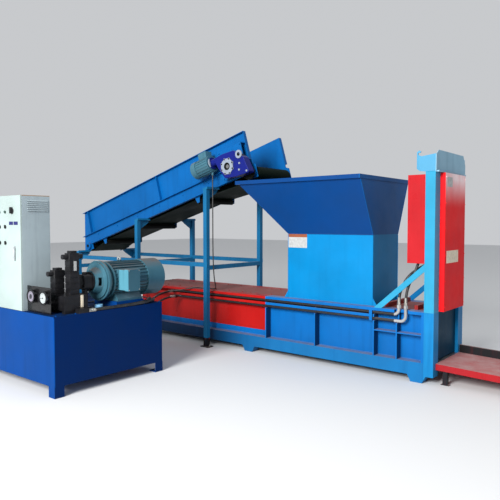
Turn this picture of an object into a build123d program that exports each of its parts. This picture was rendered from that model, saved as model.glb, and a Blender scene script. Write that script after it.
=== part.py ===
from build123d import *
from math import asin, atan2, cos, hypot, pi, radians, sin, tan
import os

os.makedirs("parts", exist_ok=True)

# Clearances: running gap between pieces that move past each other
RUN = 0.3
SHAFT_FIT = 0.05

# Press body: two side walls with outside ribs around a straight chamber.
# X runs towards the discharge, Y away from the operator side, Z up.
PRESS_LEN = 4900
FRONT_X = PRESS_LEN / 2
REAR_X = -PRESS_LEN / 2
CHAMBER_W = 620
WALL_T = 30
RIB_DEPTH = 110
WALL_IN = CHAMBER_W / 2
WALL_OUT = WALL_IN + WALL_T
SIDE_Y = WALL_OUT + RIB_DEPTH
PLATE = 12
BEAM_Z0 = 78
BEAM_H = 144
FLOOR_Z = BEAM_Z0 + BEAM_H
TOP_Z = 778
FLANGE_T = 33
FLANGE_Z = TOP_Z - FLANGE_T
FLOOR_T = 25
CROSS_W = 80
CROSS_PITCH = 815
EYE_INSET = 245
EYE_PITCH = 1960
EYE_R = 16
ROOF_T = 20
ROOF_Z = TOP_Z - ROOF_T
RIB_T = 16
JOINT_X = 183
RIB_STATIONS = [JOINT_X, 949, FRONT_X - 700, FRONT_X - 418]
MID_RIB_Z = 520
END_COLUMN = 139
RAIL_Z = 684
RAIL_H = 32
RAIL_END_X = RIB_STATIONS[2] - 64
BRACKET_W = 38
BRACKET_Z = 624
SKIN_T = 6
SKIN_Z0 = 300

# Feet and the anchor holes that fix the press to the floor
FOOT_X = FRONT_X - 190
MID_FOOT_X = -123
FOOT_BASE_W = 130
FOOT_TOP_W = 210
FOOT_T = 16
ANCHOR_D = 22
ANCHOR_Y = WALL_OUT + RIB_DEPTH / 2

# Steel pipes in the two grooves below the top flange
PIPE_D = 34
PIPE_Y = -(SIDE_Y - 30)
PIPE_HIGH_Z = 722
PIPE_LOW_Z = 648
PIPE_SLOT = PIPE_D + 8
PIPE_BEND_R = 62
PIPE_HIGH_X = FRONT_X - 410
PIPE_LOW_X = FRONT_X - 330
PIPE_END_Z = 830
PIPE_HIGH_X0 = -1545
PIPE_LOW_X0 = -1500
PIPE_TAIL_Y = -520
HOSE_D = 30
NUT_WALL = 7
NUT_LEN = 34

# Feed box on the chamber roof and the flared hopper above it
BOX_X0 = 458
BOX_X1 = 1672
BOX_SHEET = 8
BOX_Y = WALL_OUT - 5
BOX_TOP = 1610
HOPPER_TOP = 2302
HOPPER_Y = 657
HOPPER_X0 = -165
HOPPER_X1 = 1660
HOPPER_SHEET = 6
HOPPER_RIM = 48
RIM_OUT = 8

# Gate tower
COLUMN_W = 110
COLUMN_X0 = FRONT_X - COLUMN_W
COLUMN_WALL = 10
TOWER_TOP = 2300
GATE_T = 30
GATE_X = COLUMN_X0 + COLUMN_W / 2
GATE_BITE = 34
GATE_H = 560
GATE_LIFT = 560
GUARD_OUT = 58
GUARD_LAP = 4
GUARD_SHEET = 4
GUARD_Z0 = 785
GUARD_Z1 = 2290
SIDE_GUARD_W = 197
SIDE_GUARD_X = COLUMN_X0 - SIDE_GUARD_W
SIDE_GUARD_Z0 = 1308
SIDE_GUARD_Z1 = 2271
BRACE_GAP = 4
BRACE_W = 62
BRACE_T = 12
BRACE_RUN = 595
BRACE_FOOT_X = COLUMN_X0 - BRACE_RUN
BRACE_TOP_Z = SIDE_GUARD_Z0 - BRACE_GAP
HEAD_OVERHANG = 100
HEAD_X0 = COLUMN_X0 - HEAD_OVERHANG
HEAD_Z1 = 2475
HOOD_Z1 = 2530

# Gate cylinder
GATE_ROD_D = 50
GATE_BARREL_D = 110
GATE_BORE_D = 90
GATE_BARREL_Z0 = 1560
GATE_BARREL_Z1 = 2294
GATE_LUG_H = 60
PORT_RISE = 26
PORT_DROP = 76
ELBOW_X = GATE_X - 105
ELBOW_DROP = 60

# Ram and main cylinder
RAM_LEN = 1450
RAM_FACE_X = 400
RAM_PLATE = 50
RAM_WALL = 20
RAM_STROKE = 1500
CYL_Z = (FLOOR_Z + ROOF_Z) / 2
BARREL_D = 220
BORE_D = 180
ROD_D = 120
GLAND_D = 250
BARREL_FRONT_X = -670
BULKHEAD_T = 50
CAP_T = 80

# Discharge table
TABLE_LEN = 1200
TABLE_Y = 380
TABLE_T = 8
TABLE_EDGE = 68
TABLE_SLOPE = 2
TABLE_LEG_INSET = 100
KERB_H = 90
KERB_T = 30

# Belt conveyor, drawn on a plane that leans with it: s uphill, depth below the top edge
SLOPE = 16.2
CONV_HEAD_X = -230
CONV_HEAD_Z = 2999
CONV_TAIL_X = -3960
CONV_Y = 392
CONV_SHEET = 6
CONV_FLANGE = 48
PANEL_DEPTH = 400
SIDE_DEPTH = 580
AXIS_DEPTH = 590
DRUM_R = 88
BELT_T = 7
BELT_W = 700
SHAFT_R = 25
HEAD_S = -35
TAIL_S = -3905
BEARING_R = 60
CHEEK_DEPTH = 665
CHEEK_R = 95
ROLLER_R = 38
ROLLER_STATIONS = [-1120, -2487, -3450]
ROLLER_PIN_R = 10
RETURN_DEPTH = 598
STIFFENER_STATIONS = [-3740, -1860]

# Stand under the conveyor
POST = 65
POST_Y = 603
POST_STATIONS = [-758, -2250, -3840]
TIE_Z = 1160
TIE = 60
CROSS_Z = 1118
TAIL_CROSS_Z = 1000
SHOE = 150
SHOE_T = 12
SHOE_HOLE_R = 8
POST_WALL = 4
ARM_W = 90
ARM_T = 30
GUSSET_H = 140

# Conveyor drive
DRIVE_S = -258
DRIVE_DEPTH = 432
DRIVE_PLATE_Y = 486
DRIVE_PLATE_T = 12
BRACKET_S0 = -470
BRACKET_S1 = -40
BRACKET_TOP = 150
BRACKET_BOTTOM = 560
GEARBOX_W = 112
RING_R = 106
RING_BORE_R = 50
RING_T = 12
RING_LOBE_R = 16
ADAPTER_R = 50
CHAIN_Y = 454
SPROCKET_T = 14
TOOTH_H = 5
CHAIN_H = 12
DRIVE_TEETH = 13
DRIVEN_TEETH = 19
CHAIN_PITCH = 25.4
GEAR_MOTOR_DEPTH = 277
GEAR_MOTOR_R = 125
GEAR_MOTOR_Y = 550
GEAR_MOTOR_S0 = -897
GEAR_MOTOR_S1 = -560
GEAR_FIN_H = 10
GEAR_COWL_LEN = 100
CABLE_D = 16
CABLE_START_X = -686
CABLE_START_Z = 2412
CABLE_END_X = -930
CABLE_END_Z = 868
GLAND_R = 15

# Hydraulic power unit
TANK_X0 = -1769
TANK_X1 = -269
TANK_Y0 = -3293
TANK_Y1 = -1873
TANK_Z0 = 113
TANK_Z1 = 807
TANK_SHEET = 6
LID_T = 10
LID_Z = TANK_Z1 + LID_T
TANK_FOOT_W = 110
TANK_FOOT_HOLE = 18
TANK_FOOT_T = 12
CAP_R = 44
CAP_H = 52
NECK_R = 30
CAP_X = -383
CAP_Y = -2680

MOTOR_X = -550
MOTOR_Z = 1108
MOTOR_Y0 = -2576
MOTOR_Y1 = -1740
MOTOR_R = 190
FIN_R = 208
FIN_COUNT = 32
FIN_T = 5
MOTOR_FLANGE_R = 225
MOTOR_FLANGE_T = 24
MOTOR_SHAFT_R = 30
COWL_Y = -2010
COWL_R = 214
COWL_SHEET = 3
GRILLE_SLOT = 14
FAN_R = 180
COUPLING_R = 70
FOOT_PLATE_T = 22
BASE_H = 60
BASE_W = 408
BASE_RAIL = 70
FOOT_Y0 = -2450
FOOT_Y1 = -2110
FOOT_SPAN = 400
FIN_Y0 = -2480
BOX_Y0 = -2450
BOX_Y1 = -2283
BOX_Z0 = 1000
BOX_Z1 = 1240
BOX_OUT_X = -170
EYE_Y = -2277
BELL_LEN = 100
BELL_WALL = 14
PUMP_LEN = 130
PUMP_W = 160
PUMP_FLANGE_R = 105
BELL_R = 150
SUCTION_R = 32

MANIFOLD_X0 = -700
MANIFOLD_X1 = -340
MANIFOLD_Y0 = -3120
MANIFOLD_Y1 = -2850
MANIFOLD_FOOT = 30
MANIFOLD_Z0 = LID_Z + MANIFOLD_FOOT
MANIFOLD_Z1 = 1000
STACK_LEFT_X = -600
STACK_LEFT_Y = -3040
STACK_RIGHT_X = -450
STACK_RIGHT_Y = -2960
VALVE_W = 96
VALVE_L = 110
VALVE_PLATE = 60
VALVE_BODY_H = 74
SOLENOID_R = 26
SOLENOID_LEN = 62
PORT_BLOCK_H = 46

PORT_X = -304
PORT_GAP = 36
PORT_FACE_Y = -2880

# Control cabinet on the tank lid
CAB_X0 = -1580
CAB_X1 = -880
CAB_Y0 = -3290
CAB_DEPTH = 342
CAB_H = 1227
CAB_TOP = LID_Z + CAB_H
CAB_SHEET = 3
DOOR_T = 18
DOOR_SHEET = 2.5
DOOR_GAP = 2
HINGE_R = 8
HINGE_PIN_R = 4
HINGE_OUT = 10
HINGE_LEN = 70
HINGE_HEIGHTS = [170, CAB_H - 170]
LIP = 22
LOUVRE_Y0 = -3212
LOUVRE_Y1 = -2970
LOUVRE_Z0 = CAB_TOP - 168
LOUVRE_PITCH = 21
LOUVRE_ROWS = 6
PLATE_STANDOFF = 15
PLATE_MARGIN = 90

# Controls on the cabinet door
CONTROL_XS = [-1310, -1190]
CONTROL_ZS = [CAB_TOP - 176, CAB_TOP - 340, CAB_TOP - 514]
STEM_R = 11
CONTROL_GAP = 6
BUTTON_R = 15
BUTTON_H = 8
SELECTOR_R = 17
SWITCH_X = -1043
SWITCH_Z = CAB_TOP - 168
SWITCH_R = 30
HANDLE_X = -995
HANDLE_Z = CAB_TOP - 556
HANDLE_LEN = 136
HANDLE_SHAFT_R = 8

# Gauge panel beside the cabinet
GAUGE_PANEL_Y = -3226
GAUGE_PANEL_W = 445
GAUGE_PANEL_H = 273
GAUGE_PANEL_T = 5
GAUGE_R = 75
GAUGE_DEPTH = 42
GAUGE_Z = 985
GAUGE_SPAN = 230
GAUGE_X = -622
GAUGE_STEM_R = 14
PANEL_GAP = 13

# The conveyor's leaning plane: local x is uphill, local y square to the belt, z towards -Y
UP = radians(SLOPE)
CONV = Plane(origin=(CONV_HEAD_X, 0, CONV_HEAD_Z), x_dir=(cos(UP), 0, sin(UP)), z_dir=(0, -1, 0))


def conveyor_point(s, y, depth):
    """World place of a point s along the conveyor, at width y and depth below its top edge."""
    x = CONV_HEAD_X + s * cos(UP) + depth * sin(UP)
    z = CONV_HEAD_Z + s * sin(UP) - depth * cos(UP)
    return (x, y, z)


def tail_s(depth):
    """Where the upright tail cut crosses the given depth."""
    return (CONV_TAIL_X - CONV_HEAD_X - depth * sin(UP)) / cos(UP)


def save(piece, label):
    """Name a finished piece and write it out."""
    piece.part.label = label
    export_step(piece.part, f"parts/{label}.step")


def far_twin(source):
    """The same piece mirrored to the far side of the press."""
    with BuildPart() as twin:
        mirror(source.part, about=Plane.XZ)
    return twin


# Near side wall: inner plate, bottom beam, top flange, ribs, end column and feet
with BuildPart() as near_side_frame:
    with BuildSketch(Plane.XZ.offset(WALL_IN)):
        with BuildLine():
            Polyline(
                (REAR_X, BEAM_Z0),
                (FRONT_X, BEAM_Z0),
                (FRONT_X, TOP_Z),
                (JOINT_X - RIB_T, TOP_Z),
                (JOINT_X - RIB_T, FLANGE_Z),
                (REAR_X, FLANGE_Z),
                close=True,
            )
        make_face()
    extrude(amount=WALL_T)
    # Bottom beam, a channel with its web outside
    with BuildSketch(Plane.YZ.offset(REAR_X)):
        with Locations((-(WALL_OUT + RIB_DEPTH / 2), BEAM_Z0 + BEAM_H / 2)):
            Rectangle(RIB_DEPTH, BEAM_H)
        with Locations((-(WALL_OUT + (RIB_DEPTH - PLATE) / 2), BEAM_Z0 + BEAM_H / 2)):
            Rectangle(RIB_DEPTH - PLATE, BEAM_H - 2 * PLATE, mode=Mode.SUBTRACT)
    extrude(amount=PRESS_LEN)
    # Top flange of the front part
    with BuildSketch(Plane.YZ.offset(JOINT_X - RIB_T)):
        with Locations((-(WALL_OUT + RIB_DEPTH / 2), TOP_Z - FLANGE_T / 2)):
            Rectangle(RIB_DEPTH, FLANGE_T)
    extrude(amount=FRONT_X - JOINT_X + RIB_T)
    # Rail between the two pipe grooves, an outside strip on a web
    with BuildSketch(Plane.YZ.offset(JOINT_X)):
        with Locations((-(SIDE_Y - PLATE / 2), RAIL_Z)):
            Rectangle(PLATE, RAIL_H)
        with Locations((-(WALL_OUT + RIB_DEPTH / 2), RAIL_Z)):
            Rectangle(RIB_DEPTH, PLATE)
    extrude(amount=RAIL_END_X - JOINT_X)
    # Clip plate that closes the rail and covers the pipes
    with BuildSketch(Plane.XZ.offset(SIDE_Y - 8)):
        with Locations((RAIL_END_X + BRACKET_W / 2, (BRACKET_Z + FLANGE_Z) / 2)):
            Rectangle(BRACKET_W, FLANGE_Z - BRACKET_Z)
    extrude(amount=8)
    # Upright ribs, notched for the pipes
    for station in RIB_STATIONS:
        with BuildSketch(Plane.YZ.offset(station - RIB_T)):
            with Locations((-(WALL_OUT + RIB_DEPTH / 2), (FLOOR_Z + FLANGE_Z) / 2)):
                Rectangle(RIB_DEPTH, FLANGE_Z - FLOOR_Z)
            for z in (PIPE_HIGH_Z, PIPE_LOW_Z):
                with Locations((PIPE_Y, z)):
                    Circle(PIPE_SLOT / 2, mode=Mode.SUBTRACT)
                with Locations((PIPE_Y - RIB_DEPTH / 2, z)):
                    Rectangle(RIB_DEPTH, PIPE_SLOT, mode=Mode.SUBTRACT)
            if station == RIB_STATIONS[-1]:
                # One tall notch where both pipes bend upward
                notch_z = PIPE_LOW_Z - PIPE_SLOT / 2
                with Locations((PIPE_Y, (notch_z + FLANGE_Z) / 2)):
                    Rectangle(2 * (SIDE_Y + PIPE_Y), FLANGE_Z - notch_z, mode=Mode.SUBTRACT)
        extrude(amount=RIB_T)
    # Level rib in the last bays before the tower
    with BuildSketch(Plane.XZ.offset(WALL_OUT)):
        with Locations(((RIB_STATIONS[2] + FRONT_X - END_COLUMN) / 2, MID_RIB_Z)):
            Rectangle(FRONT_X - END_COLUMN - RIB_STATIONS[2], PLATE)
    extrude(amount=RIB_DEPTH)
    # End column, a square tube over the full height
    with BuildSketch(Plane.XY.offset(BEAM_Z0)):
        with Locations((FRONT_X - END_COLUMN / 2, -(WALL_OUT + RIB_DEPTH / 2))):
            Rectangle(END_COLUMN, RIB_DEPTH)
    extrude(amount=TOP_Z - BEAM_Z0)
    with BuildSketch(Plane.XY.offset(BEAM_Z0 + PLATE)):
        with Locations((FRONT_X - END_COLUMN / 2, -(WALL_OUT + RIB_DEPTH / 2))):
            Rectangle(END_COLUMN - 2 * PLATE, RIB_DEPTH - 2 * PLATE)
    extrude(amount=TOP_Z - BEAM_Z0 - 2 * PLATE, mode=Mode.SUBTRACT)
    # Groove in which the gate's edge slides
    with BuildSketch(Plane.XY.offset(FLOOR_Z - 2)):
        with Locations((GATE_X, -(WALL_IN + (GATE_BITE + 1) / 2))):
            Rectangle(GATE_T + 6, GATE_BITE + 1)
    extrude(amount=TOP_Z - FLOOR_Z + 2, mode=Mode.SUBTRACT)
    # Notch in the flange where the pipes turn up
    with BuildSketch(Plane.XY.offset(FLANGE_Z)):
        with Locations(((PIPE_HIGH_X + PIPE_LOW_X) / 2, -SIDE_Y)):
            Rectangle(PIPE_LOW_X - PIPE_HIGH_X + 2 * PIPE_SLOT, 2 * (SIDE_Y + PIPE_Y + PIPE_SLOT / 2))
    extrude(amount=FLANGE_T, mode=Mode.SUBTRACT)
    # Feet: tapered boxes open towards the inside
    for x in (-FOOT_X, MID_FOOT_X, FOOT_X):
        with BuildSketch(Plane.XZ.offset(WALL_OUT)):
            with BuildLine():
                Polyline(
                    (x - FOOT_TOP_W / 2, BEAM_Z0),
                    (x - FOOT_BASE_W / 2, 0),
                    (x + FOOT_BASE_W / 2, 0),
                    (x + FOOT_TOP_W / 2, BEAM_Z0),
                    close=True,
                )
            make_face()
        extrude(amount=RIB_DEPTH)
        with BuildSketch(Plane.XZ.offset(WALL_OUT)):
            with Locations((x, (FOOT_T + BEAM_Z0) / 2)):
                Rectangle(FOOT_BASE_W - 2 * PLATE, BEAM_Z0 - FOOT_T)
        extrude(amount=RIB_DEPTH - PLATE, mode=Mode.SUBTRACT)
        with Locations((x, -ANCHOR_Y, FOOT_T)):
            Hole(radius=ANCHOR_D / 2, depth=FOOT_T)
save(near_side_frame, "near_side_frame")
far_side_frame = far_twin(near_side_frame)
save(far_side_frame, "far_side_frame")

# Red upper side of the ram housing: flange, rail and skin in one folded and welded length
with BuildPart() as rear_panels:
    with BuildSketch(Plane.YZ.offset(REAR_X)):
        with Locations((-(WALL_IN + SIDE_Y) / 2, TOP_Z - FLANGE_T / 2)):
            Rectangle(SIDE_Y - WALL_IN, FLANGE_T)
        with Locations((-(WALL_OUT + SKIN_T / 2), (SKIN_Z0 + FLANGE_Z) / 2)):
            Rectangle(SKIN_T, FLANGE_Z - SKIN_Z0)
        with Locations((-(SIDE_Y - PLATE / 2), RAIL_Z)):
            Rectangle(PLATE, RAIL_H)
        with Locations((-(WALL_OUT + RIB_DEPTH / 2), RAIL_Z)):
            Rectangle(RIB_DEPTH, PLATE)
    extrude(amount=JOINT_X - RIB_T - REAR_X)
    mirror(about=Plane.XZ)
save(rear_panels, "rear_panels")

# Chamber floor on cross members, with the rear bulkhead that takes the cylinder's thrust
with BuildPart() as chamber_floor:
    with BuildSketch(Plane.XY.offset(FLOOR_Z - FLOOR_T)):
        Rectangle(PRESS_LEN, CHAMBER_W)
    extrude(amount=FLOOR_T)
    with BuildSketch(Plane.XY.offset(BEAM_Z0)):
        with GridLocations(CROSS_PITCH, 1, 6, 1):
            Rectangle(CROSS_W, CHAMBER_W)
            Rectangle(CROSS_W - 2 * PLATE, CHAMBER_W - 2 * PLATE, mode=Mode.SUBTRACT)
    extrude(amount=BEAM_H - FLOOR_T)
    with BuildSketch(Plane.YZ.offset(REAR_X)):
        with Locations((0, (FLOOR_Z + ROOF_Z) / 2)):
            Rectangle(CHAMBER_W, ROOF_Z - FLOOR_Z)
        with Locations((0, CYL_Z)):
            Circle(BARREL_D / 2 + 0.5, mode=Mode.SUBTRACT)
    extrude(amount=BULKHEAD_T)
save(chamber_floor, "chamber_floor")

# Deck over the ram housing and short roof between the hopper and the tower
with BuildPart() as rear_deck:
    with BuildSketch(Plane.XY.offset(ROOF_Z)):
        with Locations(((REAR_X + BOX_X0 + BOX_SHEET) / 2, 0)):
            Rectangle(BOX_X0 + BOX_SHEET - REAR_X, CHAMBER_W)
        # Lifting eye holes near both ends
        with Locations((REAR_X + EYE_INSET + EYE_PITCH / 2, 0)):
            with GridLocations(EYE_PITCH, CHAMBER_W - 120, 2, 2):
                Circle(EYE_R, mode=Mode.SUBTRACT)
    extrude(amount=ROOF_T)
save(rear_deck, "rear_deck")

with BuildPart() as front_deck:
    roof_x0 = BOX_X1 - BOX_SHEET
    roof_x1 = GATE_X - GATE_T / 2 - 8
    with BuildSketch(Plane.XY.offset(ROOF_Z)):
        with Locations(((roof_x0 + roof_x1) / 2, 0)):
            Rectangle(roof_x1 - roof_x0, CHAMBER_W)
    extrude(amount=ROOF_T)
    # Two stiffening bars across the roof
    with BuildSketch(Plane.XY.offset(TOP_Z)):
        with Locations(((roof_x0 + roof_x1) / 2, 0)):
            with GridLocations((roof_x1 - roof_x0) / 2, 1, 2, 1):
                Rectangle(40, CHAMBER_W)
    extrude(amount=50)
save(front_deck, "front_deck")

# Feed box: four upright walls over the chamber's mouth, with small base gussets
with BuildPart() as feed_box:
    box_cx = (BOX_X0 + BOX_X1) / 2
    with BuildSketch(Plane.XY.offset(TOP_Z)):
        with Locations((box_cx, 0)):
            Rectangle(BOX_X1 - BOX_X0, 2 * BOX_Y)
            Rectangle(BOX_X1 - BOX_X0 - 2 * BOX_SHEET, 2 * (BOX_Y - BOX_SHEET), mode=Mode.SUBTRACT)
    extrude(amount=BOX_TOP - TOP_Z)
    for y in (BOX_Y, -BOX_Y + BOX_SHEET):
        with BuildSketch(Plane.XZ.offset(y - BOX_SHEET)):
            for x, side in ((BOX_X0, -1), (BOX_X1, 1)):
                with BuildLine():
                    Polyline((x, TOP_Z), (x + side * 58, TOP_Z), (x, TOP_Z + 90), close=True)
                make_face()
        extrude(amount=BOX_SHEET)
save(feed_box, "feed_box")

# Flared hopper, a lofted shell with a folded rim
with BuildPart() as hopper:
    with BuildSketch(Plane.XY.offset(BOX_TOP)):
        with Locations((box_cx, 0)):
            Rectangle(BOX_X1 - BOX_X0, 2 * BOX_Y)
    with BuildSketch(Plane.XY.offset(HOPPER_TOP)):
        with Locations(((HOPPER_X0 + HOPPER_X1) / 2, 0)):
            Rectangle(HOPPER_X1 - HOPPER_X0, 2 * HOPPER_Y)
    loft()
    with BuildSketch(Plane.XY.offset(HOPPER_TOP - HOPPER_RIM)):
        with Locations(((HOPPER_X0 + HOPPER_X1) / 2, 0)):
            Rectangle(HOPPER_X1 - HOPPER_X0 + 2 * RIM_OUT, 2 * (HOPPER_Y + RIM_OUT))
    extrude(amount=HOPPER_RIM)
    with BuildSketch(Plane.XY.offset(BOX_TOP)):
        with Locations((box_cx, 0)):
            Rectangle(BOX_X1 - BOX_X0 - 2 * HOPPER_SHEET, 2 * (BOX_Y - HOPPER_SHEET))
    with BuildSketch(Plane.XY.offset(HOPPER_TOP)):
        with Locations(((HOPPER_X0 + HOPPER_X1) / 2, 0)):
            Rectangle(HOPPER_X1 - HOPPER_X0 - 2 * HOPPER_SHEET, 2 * (HOPPER_Y - HOPPER_SHEET))
    loft(mode=Mode.SUBTRACT)
save(hopper, "hopper")

# Tower column: box section with the gate's groove, and the flat brace down to the flange
with BuildPart() as near_column:
    column_d = SIDE_Y - WALL_IN
    groove_y = WALL_IN + GATE_BITE + 1
    with BuildSketch(Plane.XY.offset(TOP_Z)):
        with Locations((COLUMN_X0 + COLUMN_W / 2, -(WALL_IN + column_d / 2))):
            Rectangle(COLUMN_W, column_d)
        with Locations((COLUMN_X0 + COLUMN_W / 2, -(groove_y + SIDE_Y) / 2)):
            Rectangle(COLUMN_W - 2 * COLUMN_WALL, SIDE_Y - groove_y - 2 * COLUMN_WALL, mode=Mode.SUBTRACT)
        with Locations((GATE_X, -(WALL_IN + (GATE_BITE + 1) / 2))):
            Rectangle(GATE_T + 6, GATE_BITE + 1, mode=Mode.SUBTRACT)
    extrude(amount=TOWER_TOP - TOP_Z)
    brace_rise = BRACE_TOP_Z - TOP_Z
    brace_cut = BRACE_W * hypot(BRACE_RUN, brace_rise) / brace_rise
    brace_face = BRACE_W * hypot(BRACE_RUN, brace_rise) / BRACE_RUN
    with BuildSketch(Plane.XZ.offset(SIDE_Y - BRACE_T)):
        with BuildLine():
            Polyline(
                (BRACE_FOOT_X, TOP_Z),
                (BRACE_FOOT_X + brace_cut, TOP_Z),
                (COLUMN_X0, BRACE_TOP_Z - brace_face),
                (COLUMN_X0, BRACE_TOP_Z),
                close=True,
            )
        make_face()
    extrude(amount=BRACE_T)
save(near_column, "near_column")
far_column = far_twin(near_column)
save(far_column, "far_column")

# Tower head: cross beam, two end cheeks, rear hook and the sloped hood plate in front
with BuildPart() as tower_head:
    with BuildSketch(Plane.YZ.offset(COLUMN_X0)):
        with Locations((0, (TOWER_TOP + HEAD_Z1) / 2)):
            Rectangle(2 * SIDE_Y, HEAD_Z1 - TOWER_TOP - 30)
    extrude(amount=10)
    with BuildSketch(Plane.YZ.offset(FRONT_X - 10)):
        with Locations((0, (TOWER_TOP + HEAD_Z1) / 2)):
            Rectangle(2 * SIDE_Y, HEAD_Z1 - TOWER_TOP - 30)
    extrude(amount=10)
    with BuildSketch(Plane.XY.offset(TOWER_TOP)):
        with Locations(((COLUMN_X0 + FRONT_X) / 2, 0)):
            Rectangle(COLUMN_W, 2 * SIDE_Y)
    extrude(amount=15)
    for y in (SIDE_Y, -SIDE_Y + PLATE):
        with BuildSketch(Plane.XZ.offset(y - PLATE)):
            with BuildLine():
                Polyline(
                    (HEAD_X0, TOWER_TOP + 35),
                    (HEAD_X0 + 30, TOWER_TOP + 9),
                    (COLUMN_X0, TOWER_TOP),
                    (FRONT_X, TOWER_TOP),
                    (FRONT_X, HEAD_Z1 + 12),
                    (HEAD_X0 + 60, HEAD_Z1 - 8),
                    (HEAD_X0, HEAD_Z1 - 8),
                    close=True,
                )
            make_face()
        extrude(amount=PLATE)
    # Hook on the near cheek
    with BuildSketch(Plane.XZ.offset(SIDE_Y - PLATE)):
        with BuildLine():
            Polyline(
                (HEAD_X0, HEAD_Z1 - 10),
                (HEAD_X0, HEAD_Z1 + 36),
                (HEAD_X0 + 24, HEAD_Z1 + 55),
                (HEAD_X0 + 48, HEAD_Z1 + 40),
                (HEAD_X0 + 36, HEAD_Z1 + 28),
                (HEAD_X0 + 16, HEAD_Z1 + 30),
                (HEAD_X0 + 16, HEAD_Z1 + 6),
                (HEAD_X0 + 52, HEAD_Z1 - 10),
                close=True,
            )
        make_face()
    extrude(amount=PLATE)
    # Hood plate with cut upper corners and a lip along its lower edge
    with BuildSketch(Plane.YZ.offset(FRONT_X)):
        with BuildLine():
            Polyline(
                (-SIDE_Y, TOWER_TOP - 6),
                (SIDE_Y - 30, TOWER_TOP - 6),
                (SIDE_Y, TOWER_TOP + 30),
                (SIDE_Y, HOOD_Z1 - 110),
                (SIDE_Y - 70, HOOD_Z1),
                (-SIDE_Y + 70, HOOD_Z1),
                (-SIDE_Y, HOOD_Z1 - 50),
                close=True,
            )
        make_face()
    extrude(amount=6)
    with BuildSketch(Plane.XY.offset(TOWER_TOP - 6)):
        with Locations((FRONT_X + 19, -15)):
            Rectangle(26, 2 * SIDE_Y - 60)
    extrude(amount=16)
    # Clevis cheeks for the gate cylinder's upper eye
    with BuildSketch(Plane.YZ.offset(GATE_X)):
        with Locations((-26, TOWER_TOP + 50), (26, TOWER_TOP + 50)):
            Rectangle(14, 90)
    extrude(amount=25, both=True)
save(tower_head, "tower_head")

# Folded sheet guards: one on each column's rear face and the tall one in front
with BuildPart() as side_guards:
    with BuildSketch(Plane.XY.offset(SIDE_GUARD_Z0)):
        with BuildLine():
            Polyline(
                (COLUMN_X0, -SIDE_Y + 46),
                (COLUMN_X0, -SIDE_Y),
                (SIDE_GUARD_X, -SIDE_Y),
                (SIDE_GUARD_X, -SIDE_Y + 30),
                (SIDE_GUARD_X + GUARD_SHEET, -SIDE_Y + 30),
                (SIDE_GUARD_X + GUARD_SHEET, -SIDE_Y + GUARD_SHEET),
                (COLUMN_X0 - GUARD_SHEET, -SIDE_Y + GUARD_SHEET),
                (COLUMN_X0 - GUARD_SHEET, -SIDE_Y + 46),
                close=True,
            )
        make_face()
    extrude(amount=SIDE_GUARD_Z1 - SIDE_GUARD_Z0)
    mirror(about=Plane.XZ)
save(side_guards, "side_guards")

with BuildPart() as front_guard:
    guard_y = WALL_IN + GUARD_LAP
    with BuildSketch(Plane.XY.offset(GUARD_Z0)):
        with Locations((FRONT_X + GUARD_OUT / 2, 0)):
            Rectangle(GUARD_OUT, 2 * guard_y)
    extrude(amount=GUARD_Z1 - GUARD_Z0)
    fillet(front_guard.edges().filter_by(Axis.Z).group_by(Axis.X)[-1], radius=8)
    with BuildSketch(Plane.XY.offset(GUARD_Z0 - 1)):
        with Locations((FRONT_X + (GUARD_OUT - GUARD_SHEET) / 2, 0)):
            Rectangle(GUARD_OUT - GUARD_SHEET, 2 * (guard_y - GUARD_SHEET))
    extrude(amount=GUARD_Z1 - GUARD_Z0 - GUARD_SHEET + 1, mode=Mode.SUBTRACT)
save(front_guard, "front_guard")

# Lift gate with its rod lug, and the cylinder that raises it
gate_z0 = FLOOR_Z + RUN
gate_top = gate_z0 + GATE_H
with BuildPart() as gate:
    with BuildSketch(Plane.YZ.offset(GATE_X - GATE_T / 2)):
        with Locations((0, gate_z0 + GATE_H / 2)):
            Rectangle(2 * (WALL_IN + GATE_BITE), GATE_H)
    extrude(amount=GATE_T)
    with BuildSketch(Plane.YZ.offset(GATE_X)):
        with Locations((0, gate_top + GATE_LUG_H / 2)):
            Rectangle(70, GATE_LUG_H)
        with Locations((0, gate_top + GATE_LUG_H - 26)):
            Circle(14, mode=Mode.SUBTRACT)
    extrude(amount=GATE_T / 2 - 1, both=True)
    chamfer(gate.edges().filter_by(Axis.Y).group_by(Axis.Z)[0], length=8)
save(gate, "gate")

rod_z0 = gate_top + GATE_LUG_H
with BuildPart() as gate_rod:
    with BuildSketch(Plane.XZ):
        with BuildLine():
            Polyline(
                (GATE_X, rod_z0),
                (GATE_X + GATE_ROD_D / 2 + 10, rod_z0),
                (GATE_X + GATE_ROD_D / 2 + 10, rod_z0 + 30),
                (GATE_X + GATE_ROD_D / 2, rod_z0 + 40),
                (GATE_X + GATE_ROD_D / 2, GATE_BARREL_Z0 + 60),
                (GATE_X + GATE_BORE_D / 2 - RUN, GATE_BARREL_Z0 + 60),
                (GATE_X + GATE_BORE_D / 2 - RUN, GATE_BARREL_Z0 + 100),
                (GATE_X, GATE_BARREL_Z0 + 100),
                close=True,
            )
        make_face()
    revolve(axis=Axis((GATE_X, 0, 0), (0, 0, 1)))
save(gate_rod, "gate_rod")

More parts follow.
